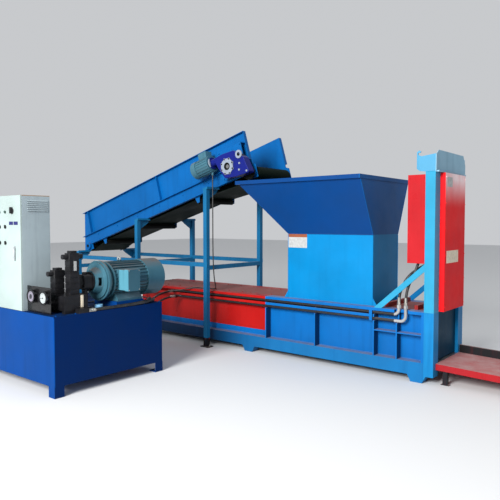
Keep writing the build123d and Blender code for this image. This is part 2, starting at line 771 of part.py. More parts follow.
with BuildPart() as gate_cylinder:
    with BuildSketch(Plane.XZ):
        with BuildLine():
            Polyline(
                (GATE_X + GATE_ROD_D / 2 + RUN, GATE_BARREL_Z0),
                (GATE_X + GATE_BARREL_D / 2 - 4, GATE_BARREL_Z0),
                (GATE_X + GATE_BARREL_D / 2, GATE_BARREL_Z0 + 4),
                (GATE_X + GATE_BARREL_D / 2, TOWER_TOP - 30),
                (GATE_X + 20, TOWER_TOP - 6),
                (GATE_X, TOWER_TOP - 6),
                (GATE_X, GATE_BARREL_Z1 - 36),
                (GATE_X + GATE_BORE_D / 2, GATE_BARREL_Z1 - 36),
                (GATE_X + GATE_BORE_D / 2, GATE_BARREL_Z0 + 50),
                (GATE_X + GATE_ROD_D / 2 + RUN, GATE_BARREL_Z0 + 50),
                close=True,
            )
        make_face()
    revolve(axis=Axis((GATE_X, 0, 0), (0, 0, 1)))
    # Flat eye that stands up to the tower head
    with BuildSketch(Plane.YZ.offset(GATE_X)):
        with Locations((0, TOWER_TOP - 4)):
            Rectangle(38, 8)
    extrude(amount=25, both=True)
    # Oil ports on the rear side, each with an elbow that points down
    for port_z in (GATE_BARREL_Z0 + PORT_RISE, TOWER_TOP - PORT_DROP):
        with BuildSketch(Plane.YZ.offset(ELBOW_X)):
            with Locations((0, port_z)):
                Circle(16)
        extrude(amount=GATE_X - GATE_BARREL_D / 2 - ELBOW_X + 4)
        with BuildSketch(Plane.XY.offset(port_z - ELBOW_DROP)):
            with Locations((ELBOW_X, 0)):
                RegularPolygon(22, 6)
        extrude(amount=ELBOW_DROP + 16)
save(gate_cylinder, "gate_cylinder")

# Main cylinder: barrel through the bulkhead, flange behind it, gland in front
cyl_axis = Axis((0, 0, CYL_Z), (1, 0, 0))
flange_x = REAR_X - 40
with BuildPart() as ram_cylinder:
    with BuildSketch(Plane.XZ):
        with BuildLine():
            Polyline(
                (flange_x - CAP_T, CYL_Z),
                (flange_x - CAP_T, CYL_Z + BARREL_D / 2 - 12),
                (flange_x - CAP_T + 12, CYL_Z + BARREL_D / 2),
                (flange_x, CYL_Z + BARREL_D / 2),
                (flange_x, CYL_Z + BARREL_D / 2 + 65),
                (REAR_X, CYL_Z + BARREL_D / 2 + 65),
                (REAR_X, CYL_Z + BARREL_D / 2),
                (BARREL_FRONT_X - 90, CYL_Z + BARREL_D / 2),
                (BARREL_FRONT_X - 90, CYL_Z + GLAND_D / 2),
                (BARREL_FRONT_X, CYL_Z + GLAND_D / 2),
                (BARREL_FRONT_X, CYL_Z + ROD_D / 2 + RUN),
                (BARREL_FRONT_X - 60, CYL_Z + ROD_D / 2 + RUN),
                (BARREL_FRONT_X - 60, CYL_Z + BORE_D / 2),
                (flange_x, CYL_Z + BORE_D / 2),
                (flange_x, CYL_Z),
                close=True,
            )
        make_face()
    revolve(axis=cyl_axis)
    # Flange bolts on a circle
    with BuildSketch(Plane.YZ.offset(flange_x)):
        with Locations((0, CYL_Z)):
            with PolarLocations(BARREL_D / 2 + 36, 8):
                RegularPolygon(15, 6)
    extrude(amount=-14)
    # Oil ports on the cap and behind the gland
    with BuildSketch(Plane.XY.offset(CYL_Z + BARREL_D / 2 - 20)):
        with Locations((flange_x - CAP_T / 2 + 6, 0)):
            Circle(24)
    extrude(amount=44)
save(ram_cylinder, "ram_cylinder")

with BuildPart() as ram_rod:
    ram_seat_x = RAM_FACE_X - RAM_PLATE
    with BuildSketch(Plane.XZ):
        with BuildLine():
            Polyline(
                (ram_seat_x, CYL_Z),
                (ram_seat_x, CYL_Z + ROD_D / 2 + 30),
                (ram_seat_x - 40, CYL_Z + ROD_D / 2 + 30),
                (ram_seat_x - 48, CYL_Z + ROD_D / 2),
                (REAR_X + 70, CYL_Z + ROD_D / 2),
                (REAR_X + 70, CYL_Z + BORE_D / 2 - RUN),
                (REAR_X + 10, CYL_Z + BORE_D / 2 - RUN),
                (REAR_X + 10, CYL_Z),
                close=True,
            )
        make_face()
    revolve(axis=cyl_axis)
save(ram_rod, "ram_rod")

# Ram: open box that slides in the chamber, with string grooves across its thick face
ram_y = WALL_IN - RUN
ram_z0 = FLOOR_Z + RUN
ram_z1 = ROOF_Z - 1
with BuildPart() as ram:
    with BuildSketch(Plane.YZ.offset(RAM_FACE_X - RAM_LEN)):
        with Locations((0, (ram_z0 + ram_z1) / 2)):
            Rectangle(2 * ram_y, ram_z1 - ram_z0)
            Rectangle(2 * (ram_y - RAM_WALL), ram_z1 - ram_z0 - 2 * RAM_WALL, mode=Mode.SUBTRACT)
    extrude(amount=RAM_LEN)
    with BuildSketch(Plane.YZ.offset(RAM_FACE_X - RAM_PLATE)):
        with Locations((0, (ram_z0 + ram_z1) / 2)):
            Rectangle(2 * ram_y, ram_z1 - ram_z0)
    extrude(amount=RAM_PLATE)
    with BuildSketch(Plane.YZ.offset(RAM_FACE_X)):
        with Locations((0, (ram_z0 + ram_z1) / 2)):
            with GridLocations(1, (ram_z1 - ram_z0) / 5, 1, 4):
                Rectangle(CHAMBER_W, 26)
    extrude(amount=-22, mode=Mode.SUBTRACT)
save(ram, "ram")

# Discharge table: folded tray that falls slightly away from the press, with legs and a kerb
table_plane = Plane(
    origin=(FRONT_X, 0, FLOOR_Z),
    x_dir=(cos(radians(TABLE_SLOPE)), 0, -sin(radians(TABLE_SLOPE))),
    z_dir=(0, -1, 0),
)
table_heel = TABLE_EDGE * tan(radians(TABLE_SLOPE))
with BuildPart() as bale_table:
    with BuildSketch(table_plane.offset(-TABLE_Y)):
        with BuildLine():
            Polyline((0, 0), (TABLE_LEN, 0), (TABLE_LEN, -TABLE_EDGE), (table_heel, -TABLE_EDGE), close=True)
        make_face()
    extrude(amount=2 * TABLE_Y)
    with BuildSketch(table_plane.offset(-TABLE_Y + TABLE_T)):
        with BuildLine():
            Polyline(
                (14, -TABLE_T),
                (TABLE_LEN - TABLE_T, -TABLE_T),
                (TABLE_LEN - TABLE_T, -TABLE_EDGE - 1),
                (14, -TABLE_EDGE - 1),
                close=True,
            )
        make_face()
    extrude(amount=2 * (TABLE_Y - TABLE_T), mode=Mode.SUBTRACT)
    # Kerb along the far edge
    with BuildSketch(table_plane.offset(-TABLE_Y)):
        with BuildLine():
            Polyline((6, 0), (6, KERB_H), (TABLE_LEN, KERB_H), (TABLE_LEN, 0), close=True)
        make_face()
    extrude(amount=KERB_T)
    # Four square legs under the corners
    for x in (FRONT_X + TABLE_LEG_INSET, FRONT_X + TABLE_LEN - TABLE_LEG_INSET):
        top = FLOOR_Z - (x - FRONT_X) * tan(radians(TABLE_SLOPE)) - TABLE_T / 2
        for y in (-TABLE_Y + TABLE_T + 25, TABLE_Y - TABLE_T - 25):
            with BuildSketch(Plane.XY):
                with Locations((x, y)):
                    Rectangle(50, 50)
            extrude(amount=top)
            with BuildSketch(Plane.XY):
                with Locations((x, y)):
                    Rectangle(90, 48)
            extrude(amount=8)
save(bale_table, "bale_table")


def bent_tube(points, bend, diameter):
    """Tube along straight runs joined by arcs of one radius."""
    with BuildPart() as tube:
        with BuildLine() as route:
            FilletPolyline(*points, radius=bend)
        with BuildSketch(Plane(origin=route.line @ 0, z_dir=route.line % 0)):
            Circle(diameter / 2)
        sweep()
    return tube


# Two steel pipes along the grooves, turned outward at the tail and upward at the tower
pipe_runs = (
    (PIPE_HIGH_X0, PIPE_HIGH_X, PIPE_HIGH_Z),
    (PIPE_LOW_X0, PIPE_LOW_X, PIPE_LOW_Z),
)
pipe_tubes = []
for x0, x1, z in pipe_runs:
    corners = [(x0, PIPE_TAIL_Y, z), (x0, PIPE_Y, z), (x1, PIPE_Y, z), (x1, PIPE_Y, PIPE_END_Z)]
    pipe_tubes.append(bent_tube(corners, PIPE_BEND_R, PIPE_D))
with BuildPart() as side_pipes:
    for (x0, x1, z), tube in zip(pipe_runs, pipe_tubes):
        add(tube.part)
        with BuildSketch(Plane.XY.offset(PIPE_END_Z - NUT_LEN)):
            with Locations((x1, PIPE_Y)):
                RegularPolygon(PIPE_D / 2 + NUT_WALL, 6)
        extrude(amount=NUT_LEN)
        with BuildSketch(Plane.XZ.offset(-PIPE_TAIL_Y - NUT_LEN)):
            with Locations((x0, z)):
                RegularPolygon(PIPE_D / 2 + NUT_WALL, 6)
        extrude(amount=NUT_LEN)
save(side_pipes, "side_pipes")

# Conveyor side: plate, outward flanges, stiffeners, head cheek and bearing housings
with BuildPart() as conveyor_near_side:
    with BuildSketch(CONV.offset(CONV_Y - CONV_SHEET)):
        with BuildLine():
            Polyline(
                (tail_s(0), 0),
                (0, 0),
                (0, -PANEL_DEPTH - 60),
                (50, -PANEL_DEPTH - 90),
                (50, -CHEEK_DEPTH),
                (HEAD_S - CHEEK_R, -CHEEK_DEPTH),
                (HEAD_S - CHEEK_R, -SIDE_DEPTH),
                (TAIL_S + CHEEK_R, -SIDE_DEPTH),
                (TAIL_S + CHEEK_R, -CHEEK_DEPTH),
                (tail_s(CHEEK_DEPTH), -CHEEK_DEPTH),
                close=True,
            )
        make_face()
        with Locations((HEAD_S, -AXIS_DEPTH), (TAIL_S, -AXIS_DEPTH)):
            Circle(SHAFT_R + SHAFT_FIT, mode=Mode.SUBTRACT)
    extrude(amount=CONV_SHEET)
    with BuildSketch(CONV.offset(CONV_Y - CONV_SHEET)):
        with BuildLine():
            Polyline((tail_s(0), 0), (0, 0), (0, -6), (tail_s(6), -6), close=True)
        make_face()
        with BuildLine():
            Polyline(
                (tail_s(PANEL_DEPTH), -PANEL_DEPTH),
                (0, -PANEL_DEPTH),
                (0, -PANEL_DEPTH - 7),
                (tail_s(PANEL_DEPTH + 7), -PANEL_DEPTH - 7),
                close=True,
            )
        make_face()
        with BuildLine():
            Polyline(
                (TAIL_S + CHEEK_R, 7 - SIDE_DEPTH),
                (HEAD_S - CHEEK_R, 7 - SIDE_DEPTH),
                (HEAD_S - CHEEK_R, -SIDE_DEPTH),
                (TAIL_S + CHEEK_R, -SIDE_DEPTH),
                close=True,
            )
        make_face()
        with Locations((-3, -PANEL_DEPTH / 2)):
            Rectangle(6, PANEL_DEPTH)
        for station in STIFFENER_STATIONS:
            with Locations((station, -PANEL_DEPTH / 2)):
                Rectangle(7, PANEL_DEPTH)
    extrude(amount=CONV_SHEET + CONV_FLANGE)
    with BuildSketch(CONV.offset(CONV_Y)):
        with Locations((HEAD_S, -AXIS_DEPTH), (TAIL_S, -AXIS_DEPTH)):
            Circle(BEARING_R)
            Circle(SHAFT_R + SHAFT_FIT, mode=Mode.SUBTRACT)
    extrude(amount=40)
    # Hangers under the frame with the pins of the return rollers
    for station in ROLLER_STATIONS:
        roller_depth = RETURN_DEPTH + BELT_T + RUN + ROLLER_R
        with BuildSketch(CONV.offset(CONV_Y - CONV_SHEET)):
            with BuildLine():
                Polyline(
                    (station - 50, -SIDE_DEPTH),
                    (station + 50, -SIDE_DEPTH),
                    (station + 22, -roller_depth - 24),
                    (station - 22, -roller_depth - 24),
                    close=True,
                )
            make_face()
        extrude(amount=CONV_SHEET)
        with BuildSketch(CONV.offset(BELT_W / 2 - 30)):
            with Locations((station, -roller_depth)):
                Circle(ROLLER_PIN_R)
        extrude(amount=CONV_Y - BELT_W / 2 + 30)
conveyor_far_side = far_twin(conveyor_near_side)
save(conveyor_far_side, "conveyor_far_side")

# Bracket for the gearbox, welded to the near side only
with conveyor_near_side:
    with BuildSketch(CONV.offset(DRIVE_PLATE_Y)):
        with BuildLine():
            Polyline(
                (BRACKET_S0, -BRACKET_TOP),
                (BRACKET_S1, -BRACKET_TOP),
                (BRACKET_S1, -BRACKET_BOTTOM),
                (BRACKET_S0, -BRACKET_BOTTOM),
                close=True,
            )
        make_face()
        with Locations((DRIVE_S, -DRIVE_DEPTH)):
            Circle(SHAFT_R + 12, mode=Mode.SUBTRACT)
    extrude(amount=DRIVE_PLATE_T)
    with BuildSketch(CONV.offset(CONV_Y)):
        with Locations(((BRACKET_S0 + BRACKET_S1) / 2, -BRACKET_TOP - PLATE / 2)):
            Rectangle(BRACKET_S1 - BRACKET_S0, PLATE)
        with Locations((BRACKET_S0 + PLATE / 2, -(BRACKET_TOP + PANEL_DEPTH - RUN) / 2)):
            Rectangle(PLATE, PANEL_DEPTH - RUN - BRACKET_TOP)
    extrude(amount=DRIVE_PLATE_Y - CONV_Y)
save(conveyor_near_side, "conveyor_near_side")

# Slider bed between the sides, with cross bars under it
bed_depth = AXIS_DEPTH - DRUM_R
with BuildPart() as slider_bed:
    bed_y = CONV_Y - CONV_SHEET
    bed_s0 = TAIL_S + 60
    bed_s1 = HEAD_S - 60
    with BuildSketch(CONV.offset(-bed_y)):
        with Locations(((bed_s0 + bed_s1) / 2, -bed_depth - 3)):
            Rectangle(bed_s1 - bed_s0, 6)
        with Locations(((bed_s0 + bed_s1) / 2, -bed_depth - 31)):
            with GridLocations((bed_s1 - bed_s0) / 5, 1, 5, 1):
                Rectangle(50, 50)
                Rectangle(42, 42, mode=Mode.SUBTRACT)
    extrude(amount=2 * bed_y)
save(slider_bed, "slider_bed")


def belt_wire(grow):
    """Belt loop round both drums and over the return rollers, grown outward by a thickness."""
    r = DRUM_R + RUN + grow
    lift = ROLLER_R + RUN + BELT_T - grow
    roller_y = -(RETURN_DEPTH + BELT_T + RUN + ROLLER_R)
    axis_y = -AXIS_DEPTH
    strand_y = roller_y + lift
    # Cross tangents from each drum's underside to the nearest roller's upper side
    head_roller = ROLLER_STATIONS[0]
    tail_roller = ROLLER_STATIONS[-1]
    dx = HEAD_S - head_roller
    dy = axis_y - roller_y
    lean = asin((r + lift) / hypot(dx, dy)) - atan2(dy, dx)
    head_low = (HEAD_S - r * sin(lean), axis_y - r * cos(lean))
    head_knee = (head_low[0] - (strand_y - head_low[1]) / tan(lean), strand_y)
    tx = tail_roller - TAIL_S
    lean_t = asin((r + lift) / hypot(tx, dy)) - atan2(dy, tx)
    tail_low = (TAIL_S + r * sin(lean_t), axis_y - r * cos(lean_t))
    tail_knee = (tail_low[0] + (strand_y - tail_low[1]) / tan(lean_t), strand_y)
    Line((TAIL_S, axis_y + r), (HEAD_S, axis_y + r))
    ThreePointArc((HEAD_S, axis_y + r), (HEAD_S + r, axis_y), head_low)
    Polyline(head_low, head_knee, tail_knee, tail_low)
    ThreePointArc(tail_low, (TAIL_S - r, axis_y), (TAIL_S, axis_y + r))


with BuildPart() as conveyor_belt:
    with BuildSketch(CONV.offset(-BELT_W / 2)):
        with BuildLine():
            belt_wire(BELT_T)
        make_face()
        with BuildLine():
            belt_wire(0)
        make_face(mode=Mode.SUBTRACT)
    extrude(amount=BELT_W)
save(conveyor_belt, "conveyor_belt")


def toothed_disc(teeth):
    """Flat sprocket outline at the sketch origin."""
    pitch_r = CHAIN_PITCH / (2 * sin(pi / teeth))
    Circle(pitch_r + TOOTH_H)
    with PolarLocations(pitch_r + 6, teeth):
        RegularPolygon(9, 6, mode=Mode.SUBTRACT)


# Head drum with its shaft and the driven sprocket
with BuildPart() as head_drum:
    with BuildSketch(CONV.offset(-BELT_W / 2)):
        with Locations((HEAD_S, -AXIS_DEPTH)):
            Circle(DRUM_R)
    extrude(amount=BELT_W)
    with BuildSketch(CONV.offset(-CONV_Y - 60)):
        with Locations((HEAD_S, -AXIS_DEPTH)):
            Circle(SHAFT_R)
    extrude(amount=2 * CONV_Y + 60 + CHAIN_Y - CONV_Y + SPROCKET_T + 10)
    with BuildSketch(CONV.offset(CHAIN_Y)):
        with Locations((HEAD_S, -AXIS_DEPTH)):
            toothed_disc(DRIVEN_TEETH)
    extrude(amount=SPROCKET_T)
save(head_drum, "head_drum")

with BuildPart() as tail_drum:
    with BuildSketch(CONV.offset(-BELT_W / 2)):
        with Locations((TAIL_S, -AXIS_DEPTH)):
            Circle(DRUM_R)
    extrude(amount=BELT_W)
    with BuildSketch(CONV.offset(-CONV_Y - 50)):
        with Locations((TAIL_S, -AXIS_DEPTH)):
            Circle(SHAFT_R)
    extrude(amount=2 * CONV_Y + 100)
save(tail_drum, "tail_drum")

# Return rollers on their pins
for number, station in enumerate(ROLLER_STATIONS, start=1):
    with BuildPart() as roller:
        roller_depth = RETURN_DEPTH + BELT_T + RUN + ROLLER_R
        roller_y = BELT_W / 2 + 10
        with BuildSketch(CONV.offset(-roller_y)):
            with Locations((station, -roller_depth)):
                Circle(ROLLER_R)
        extrude(amount=2 * roller_y)
        for side in (-roller_y, roller_y - 42):
            with BuildSketch(CONV.offset(side)):
                with Locations((station, -roller_depth)):
                    Circle(ROLLER_PIN_R + SHAFT_FIT)
            extrude(amount=42, mode=Mode.SUBTRACT)
    save(roller, f"return_roller_{number}")


def stand_side(sign):
    """Posts, arms, ties and shoes of one side of the conveyor stand."""
    y0 = sign * POST_Y
    inner = sign * (POST_Y - POST / 2)
    reach = sign * (CONV_Y - CONV_SHEET)
    with BuildPart() as stand:
        for x in POST_STATIONS:
            # The tail posts carry the deeper bearing cheek, the others the bottom flange
            under = CHEEK_DEPTH if x == POST_STATIONS[-1] else SIDE_DEPTH
            s = (x - CONV_HEAD_X - under * sin(UP)) / cos(UP)
            seat = conveyor_point(s, 0, under)
            with BuildSketch(Plane.XY):
                with Locations((x, y0)):
                    Rectangle(POST, POST)
                    Rectangle(POST - 2 * POST_WALL, POST - 2 * POST_WALL, mode=Mode.SUBTRACT)
            extrude(amount=seat[2] - ARM_T / 2)
            # Arm that reaches in under the conveyor, with its gusset
            with BuildSketch(CONV.offset(-max(reach, y0 + sign * POST / 2))):
                with Locations((s, -under - ARM_T / 2)):
                    Rectangle(ARM_W, ARM_T)
            extrude(amount=abs(y0 + sign * POST / 2 - reach))
            with BuildSketch(Plane.YZ.offset(x - PLATE / 2)):
                with BuildLine():
                    Polyline(
                        (inner, seat[2] - ARM_T / 2),
                        (reach, seat[2] - ARM_T / 2),
                        (reach, seat[2] - ARM_T - 24),
                        (inner, seat[2] - ARM_T - GUSSET_H),
                        close=True,
                    )
                make_face()
            extrude(amount=PLATE)
            with BuildSketch(Plane.XY):
                with Locations((x, y0)):
                    Rectangle(SHOE, SHOE - 40)
                with Locations((x - SHOE / 2 + 18, y0), (x + SHOE / 2 - 18, y0)):
                    Circle(SHOE_HOLE_R, mode=Mode.SUBTRACT)
            extrude(amount=SHOE_T)
        # Level ties cut to fit between the posts
        with BuildSketch(Plane.XZ.offset(-y0 - TIE / 2)):
            for front, rear in zip(POST_STATIONS, POST_STATIONS[1:]):
                with Locations(((front + rear) / 2, TIE_Z)):
                    Rectangle(front - rear - POST - 2 * RUN, TIE)
        extrude(amount=TIE)
    return stand


near_stand = stand_side(-1)
save(near_stand, "near_stand")
far_stand = stand_side(1)
save(far_stand, "far_stand")

# Level cross tubes between the two sides of the stand
with BuildPart() as stand_crossbars:
    for x in POST_STATIONS:
        bar_z = TAIL_CROSS_Z if x == POST_STATIONS[-1] else CROSS_Z
        with BuildSketch(Plane.XZ.offset(-POST_Y + POST / 2)):
            with Locations((x, bar_z)):
                Rectangle(TIE, TIE)
                Rectangle(TIE - 2 * POST_WALL, TIE - 2 * POST_WALL, mode=Mode.SUBTRACT)
        extrude(amount=2 * POST_Y - POST)
save(stand_crossbars, "stand_crossbars")


# Gearbox: cast housing with its hollow output, eight-lobed cover ring and small caps
gearbox_y = DRIVE_PLATE_Y + DRIVE_PLATE_T
gearbox_face = gearbox_y + GEARBOX_W
motor_axis_dir = (cos(UP), 0, sin(UP))


def across_motor(s):
    """Plane square to the gear motor's axis at s; local x is -Y, local y is up from the belt."""
    place = conveyor_point(s, -GEAR_MOTOR_Y, GEAR_MOTOR_DEPTH)
    return Plane(origin=place, x_dir=(0, 1, 0), z_dir=motor_axis_dir)


with BuildPart() as gearbox:
    with BuildSketch(CONV.offset(gearbox_y)):
        with BuildLine():
            FilletPolyline(
                (-424, -412),
                (-477, -247),
                (-316, -240),
                (-106, -260),
                (39, -402),
                (84, -630),
                (-150, -612),
                (-346, -571),
                radius=26,
                close=True,
            )
        make_face()
    extrude(amount=GEARBOX_W)
    fillet(gearbox.faces().sort_by(Axis.Y)[0].edges(), radius=8)
    with BuildSketch(CONV.offset(gearbox_face)):
        with Locations((DRIVE_S, -DRIVE_DEPTH)):
            Circle(RING_R)
            with PolarLocations(RING_R - 3, 8, start_angle=11):
                Circle(RING_LOBE_R)
        with Locations((-21, -345)):
            Circle(55)
        with Locations((-41, -464), (-69, -545), (49, -600)):
            Circle(14)
    extrude(amount=RING_T)
    with BuildSketch(CONV.offset(gearbox_face + RING_T)):
        with Locations((DRIVE_S, -DRIVE_DEPTH)):
            Circle(RING_BORE_R)
        with Locations((-21, -345)):
            Circle(24)
    extrude(amount=-RING_T - 6, mode=Mode.SUBTRACT)
    with BuildSketch(CONV.offset(gearbox_y)):
        with Locations((DRIVE_S, -DRIVE_DEPTH)):
            Circle(SHAFT_R + SHAFT_FIT)
    extrude(amount=GEARBOX_W, mode=Mode.SUBTRACT)
    # Input adapter towards the motor
    with BuildSketch(across_motor(GEAR_MOTOR_S1)):
        Circle(ADAPTER_R)
    extrude(amount=-GEAR_MOTOR_S1 - 440)
    with BuildSketch(across_motor(GEAR_MOTOR_S1)):
        Circle(ADAPTER_R + 34)
    extrude(amount=16)
save(gearbox, "gearbox")

# Gear motor: ribbed body, fan cowl, terminal box above and cable gland below
with BuildPart() as gear_motor:
    with BuildSketch(across_motor(GEAR_MOTOR_S0 + GEAR_COWL_LEN)):
        Circle(GEAR_MOTOR_R - GEAR_FIN_H)
        with PolarLocations(GEAR_MOTOR_R - GEAR_FIN_H, 20):
            Rectangle(2 * GEAR_FIN_H - 4, 5)
    extrude(amount=GEAR_MOTOR_S1 - GEAR_MOTOR_S0 - GEAR_COWL_LEN - 14)
    with BuildSketch(across_motor(GEAR_MOTOR_S1)):
        Circle(GEAR_MOTOR_R - 8)
    extrude(amount=-14)
    with BuildSketch(across_motor(GEAR_MOTOR_S0)):
        Circle(GEAR_MOTOR_R)
    extrude(amount=GEAR_COWL_LEN)
    chamfer(gear_motor.faces().sort_by(Axis.X)[0].edges(), length=14)
    with BuildSketch(CONV.offset(GEAR_MOTOR_Y - 60)):
        with Locations((-665, -(86 + GEAR_MOTOR_DEPTH - 60) / 2)):
            Rectangle(150, GEAR_MOTOR_DEPTH - 60 - 86)
    extrude(amount=120)
    with BuildSketch(Plane.XY.offset(CABLE_START_Z)):
        with Locations((CABLE_START_X, -GEAR_MOTOR_Y)):
            RegularPolygon(GLAND_R, 6)
    extrude(amount=56)
save(gear_motor, "gear_motor")

# Output shaft with the drive sprocket inboard and a retaining cap in the cover ring
with BuildPart() as drive_sprocket:
    with BuildSketch(CONV.offset(CHAIN_Y - 8)):
        with Locations((DRIVE_S, -DRIVE_DEPTH)):
            Circle(SHAFT_R)
    extrude(amount=gearbox_face - CHAIN_Y + 8)
    with BuildSketch(CONV.offset(CHAIN_Y)):
        with Locations((DRIVE_S, -DRIVE_DEPTH)):
            toothed_disc(DRIVE_TEETH)
    extrude(amount=SPROCKET_T)
save(drive_sprocket, "drive_sprocket")

# Chain as a band round both sprockets, just outside their teeth
drive_pitch_r = CHAIN_PITCH / (2 * sin(pi / DRIVE_TEETH))
driven_pitch_r = CHAIN_PITCH / (2 * sin(pi / DRIVEN_TEETH))
run_s = HEAD_S - DRIVE_S
run_d = AXIS_DEPTH - DRIVE_DEPTH
centre_gap = hypot(run_s, run_d)


def chain_loop(grow):
    """Two arcs and two outer tangents, grown outward from just clear of the teeth."""
    small = drive_pitch_r + TOOTH_H + RUN + grow
    large = driven_pitch_r + TOOTH_H + RUN + grow
    heading = atan2(-run_d, run_s)
    spread = pi / 2 + asin((large - small) / centre_gap)
    ends = []
    for side in (1, -1):
        angle = heading + side * spread
        ends.append((DRIVE_S + small * cos(angle), -DRIVE_DEPTH + small * sin(angle)))
        ends.append((HEAD_S + large * cos(angle), -AXIS_DEPTH + large * sin(angle)))
    back = (DRIVE_S - small * cos(heading), -DRIVE_DEPTH - small * sin(heading))
    front = (HEAD_S + large * cos(heading), -AXIS_DEPTH + large * sin(heading))
    Line(ends[0], ends[1])
    ThreePointArc(ends[1], front, ends[3])
    Line(ends[3], ends[2])
    ThreePointArc(ends[2], back, ends[0])


with BuildPart() as drive_chain:
    with BuildSketch(CONV.offset(CHAIN_Y - 2)):
        with BuildLine():
            chain_loop(CHAIN_H)
        make_face()
        with BuildLine():
            chain_loop(0)
        make_face(mode=Mode.SUBTRACT)
    extrude(amount=SPROCKET_T + 4)
save(drive_chain, "drive_chain")


def easy_radii(points):
    """Arc radius at each inner point, as large as its two runs allow."""
    radii = []
    for before, here, after in zip(points, points[1:], points[2:]):
        run_in = Vector(here) - Vector(before)
        run_out = Vector(after) - Vector(here)
        turn = radians(run_in.get_angle(run_out))
        radii.append(0.45 * min(run_in.length, run_out.length) / tan(turn / 2))
    return radii


def soft_tube(name, points, diameter):
    """Hose or cable through the points, with its smallest bend and its length printed."""
    radii = easy_radii(points)
    with BuildPart() as tube:
        with BuildLine() as route:
            FilletPolyline(*points, radius=radii)
        with BuildSketch(Plane(origin=route.line @ 0, z_dir=route.line % 0)):
            Circle(diameter / 2)
        sweep()
    length = sum(edge.length for edge in route.edges())
    print(name, "radii", [round(r) for r in radii], "length", round(length))
    return tube


cabinet_back = CAB_Y0 + CAB_DEPTH
# Cable of the gear motor: hangs to the deck, crosses its edge and runs with the hoses to the cabinet
CABLE_ROUTE = [
    (CABLE_START_X, -GEAR_MOTOR_Y, CABLE_START_Z),
    (-686, -550, 2215),
    (-688, -548, 1990),
    (-690, -545, 1760),
    (-694, -541, 1535),
    (-699, -533, 1320),
    (-707, -517, 1130),
    (-722, -486, 965),
    (-748, -430, 862),
    (-800, -366, 801),
    (-885, -318, 787.5),
    (-990, -318, 787.5),
    (-1085, -362, 788),
    (-1155, -440, 798),
    (-1235, -500, 782),
    (-1340, -524, 757),
    (-1440, -560, 742),
    (-1495, -640, 738),
    (-1480, -770, 732),
    (-1400, -950, 718),
    (-1265, -1130, 712),
    (-1110, -1310, 722),
    (-955, -1480, 748),
    (-805, -1640, 788),
    (-692, -1775, 832),
    (-642, -1880, 846),
    (-670, -1970, 836),
    (-752, -2035, 827),
    (-838, -2135, 826),
    (-868, -2320, 826),
    (-866, -2490, 826),
    (-880, -2650, 827),
    (-908, -2765, 840),
    (CABLE_END_X, -2850, CABLE_END_Z),
    (CABLE_END_X, cabinet_back + 26, CABLE_END_Z),
]
gear_cable = soft_tube("gear_cable", CABLE_ROUTE, CABLE_D)
save(gear_cable, "gear_cable")

# Two hoses from the port block on the tank to the tails of the side pipes
hose_z = LID_Z + HOSE_D / 2 + RUN
HIGH_HOSE_ROUTE = [
    (PIPE_HIGH_X0, PIPE_TAIL_Y, PIPE_HIGH_Z),
    (PIPE_HIGH_X0, -630, PIPE_HIGH_Z),
    (-1505, -820, 706),
    (-1390, -1030, 684),
    (-1220, -1240, 680),
    (-1030, -1440, 696),
    (-840, -1620, 738),
    (-655, -1762, 800),
    (-495, -1868, 848),
    (-374, -1960, 852),
    (-320, -2082, 842),
    (-321, -2265, 834),
    (-321, -2460, hose_z),
    (-322, -2680, hose_z),
    (PORT_X - PORT_GAP / 2, PORT_FACE_Y, hose_z),
]
LOW_HOSE_ROUTE = [
    (PIPE_LOW_X0, PIPE_TAIL_Y, PIPE_LOW_Z),
    (PIPE_LOW_X0, -630, PIPE_LOW_Z),
    (-1455, -820, 628),
    (-1335, -1020, 610),
    (-1165, -1220, 616),
    (-980, -1410, 644),
    (-790, -1590, 698),
    (-600, -1735, 780),
    (-438, -1852, 846),
    (-330, -1958, 852),
    (-283, -2084, 842),
    (-284, -2270, 834),
    (-285, -2460, hose_z),
    (-286, -2680, hose_z),
    (PORT_X + PORT_GAP / 2, PORT_FACE_Y, hose_z),
]
high_hose = soft_tube("high_hose", HIGH_HOSE_ROUTE, HOSE_D)
low_hose = soft_tube("low_hose", LOW_HOSE_ROUTE, HOSE_D)
with BuildPart() as power_hoses:
    add(high_hose.part)
    add(low_hose.part)
save(power_hoses, "power_hoses")

# Two hoses from the upturned pipes to the elbows of the gate cylinder
lower_port_z = GATE_BARREL_Z0 + PORT_RISE
upper_port_z = TOWER_TOP - PORT_DROP
LOWER_HOSE_ROUTE = [
    (PIPE_HIGH_X, PIPE_Y, PIPE_END_Z),
    (PIPE_HIGH_X, PIPE_Y, 935),
    (ELBOW_X - 212, -408, 1060),
    (ELBOW_X - 152, -370, 1170),
    (ELBOW_X - 86, -280, 1240),
    (ELBOW_X - 34, -160, 1288),
    (ELBOW_X - 6, -55, 1352),
    (ELBOW_X, 0, 1440),
    (ELBOW_X, 0, lower_port_z - ELBOW_DROP),
]
UPPER_HOSE_ROUTE = [
    (PIPE_LOW_X, PIPE_Y, PIPE_END_Z),
    (PIPE_LOW_X, PIPE_Y, 950),
    (ELBOW_X - 132, -410, 1090),
    (ELBOW_X - 74, -386, 1220),
    (ELBOW_X - 38, -356, 1370),
    (ELBOW_X - 28, -332, 1550),
    (ELBOW_X - 26, -316, 1740),
    (ELBOW_X - 19, -250, 1850),
    (ELBOW_X - 7, -142, 1915),
    (ELBOW_X, -45, 1985),
    (ELBOW_X, 0, 2072),
    (ELBOW_X, 0, upper_port_z - ELBOW_DROP),
]
lower_hose = soft_tube("lower_hose", LOWER_HOSE_ROUTE, HOSE_D)
upper_hose = soft_tube("upper_hose", UPPER_HOSE_ROUTE, HOSE_D)
with BuildPart() as tower_hoses:
    add(lower_hose.part)
    add(upper_hose.part)
save(tower_hoses, "tower_hoses")


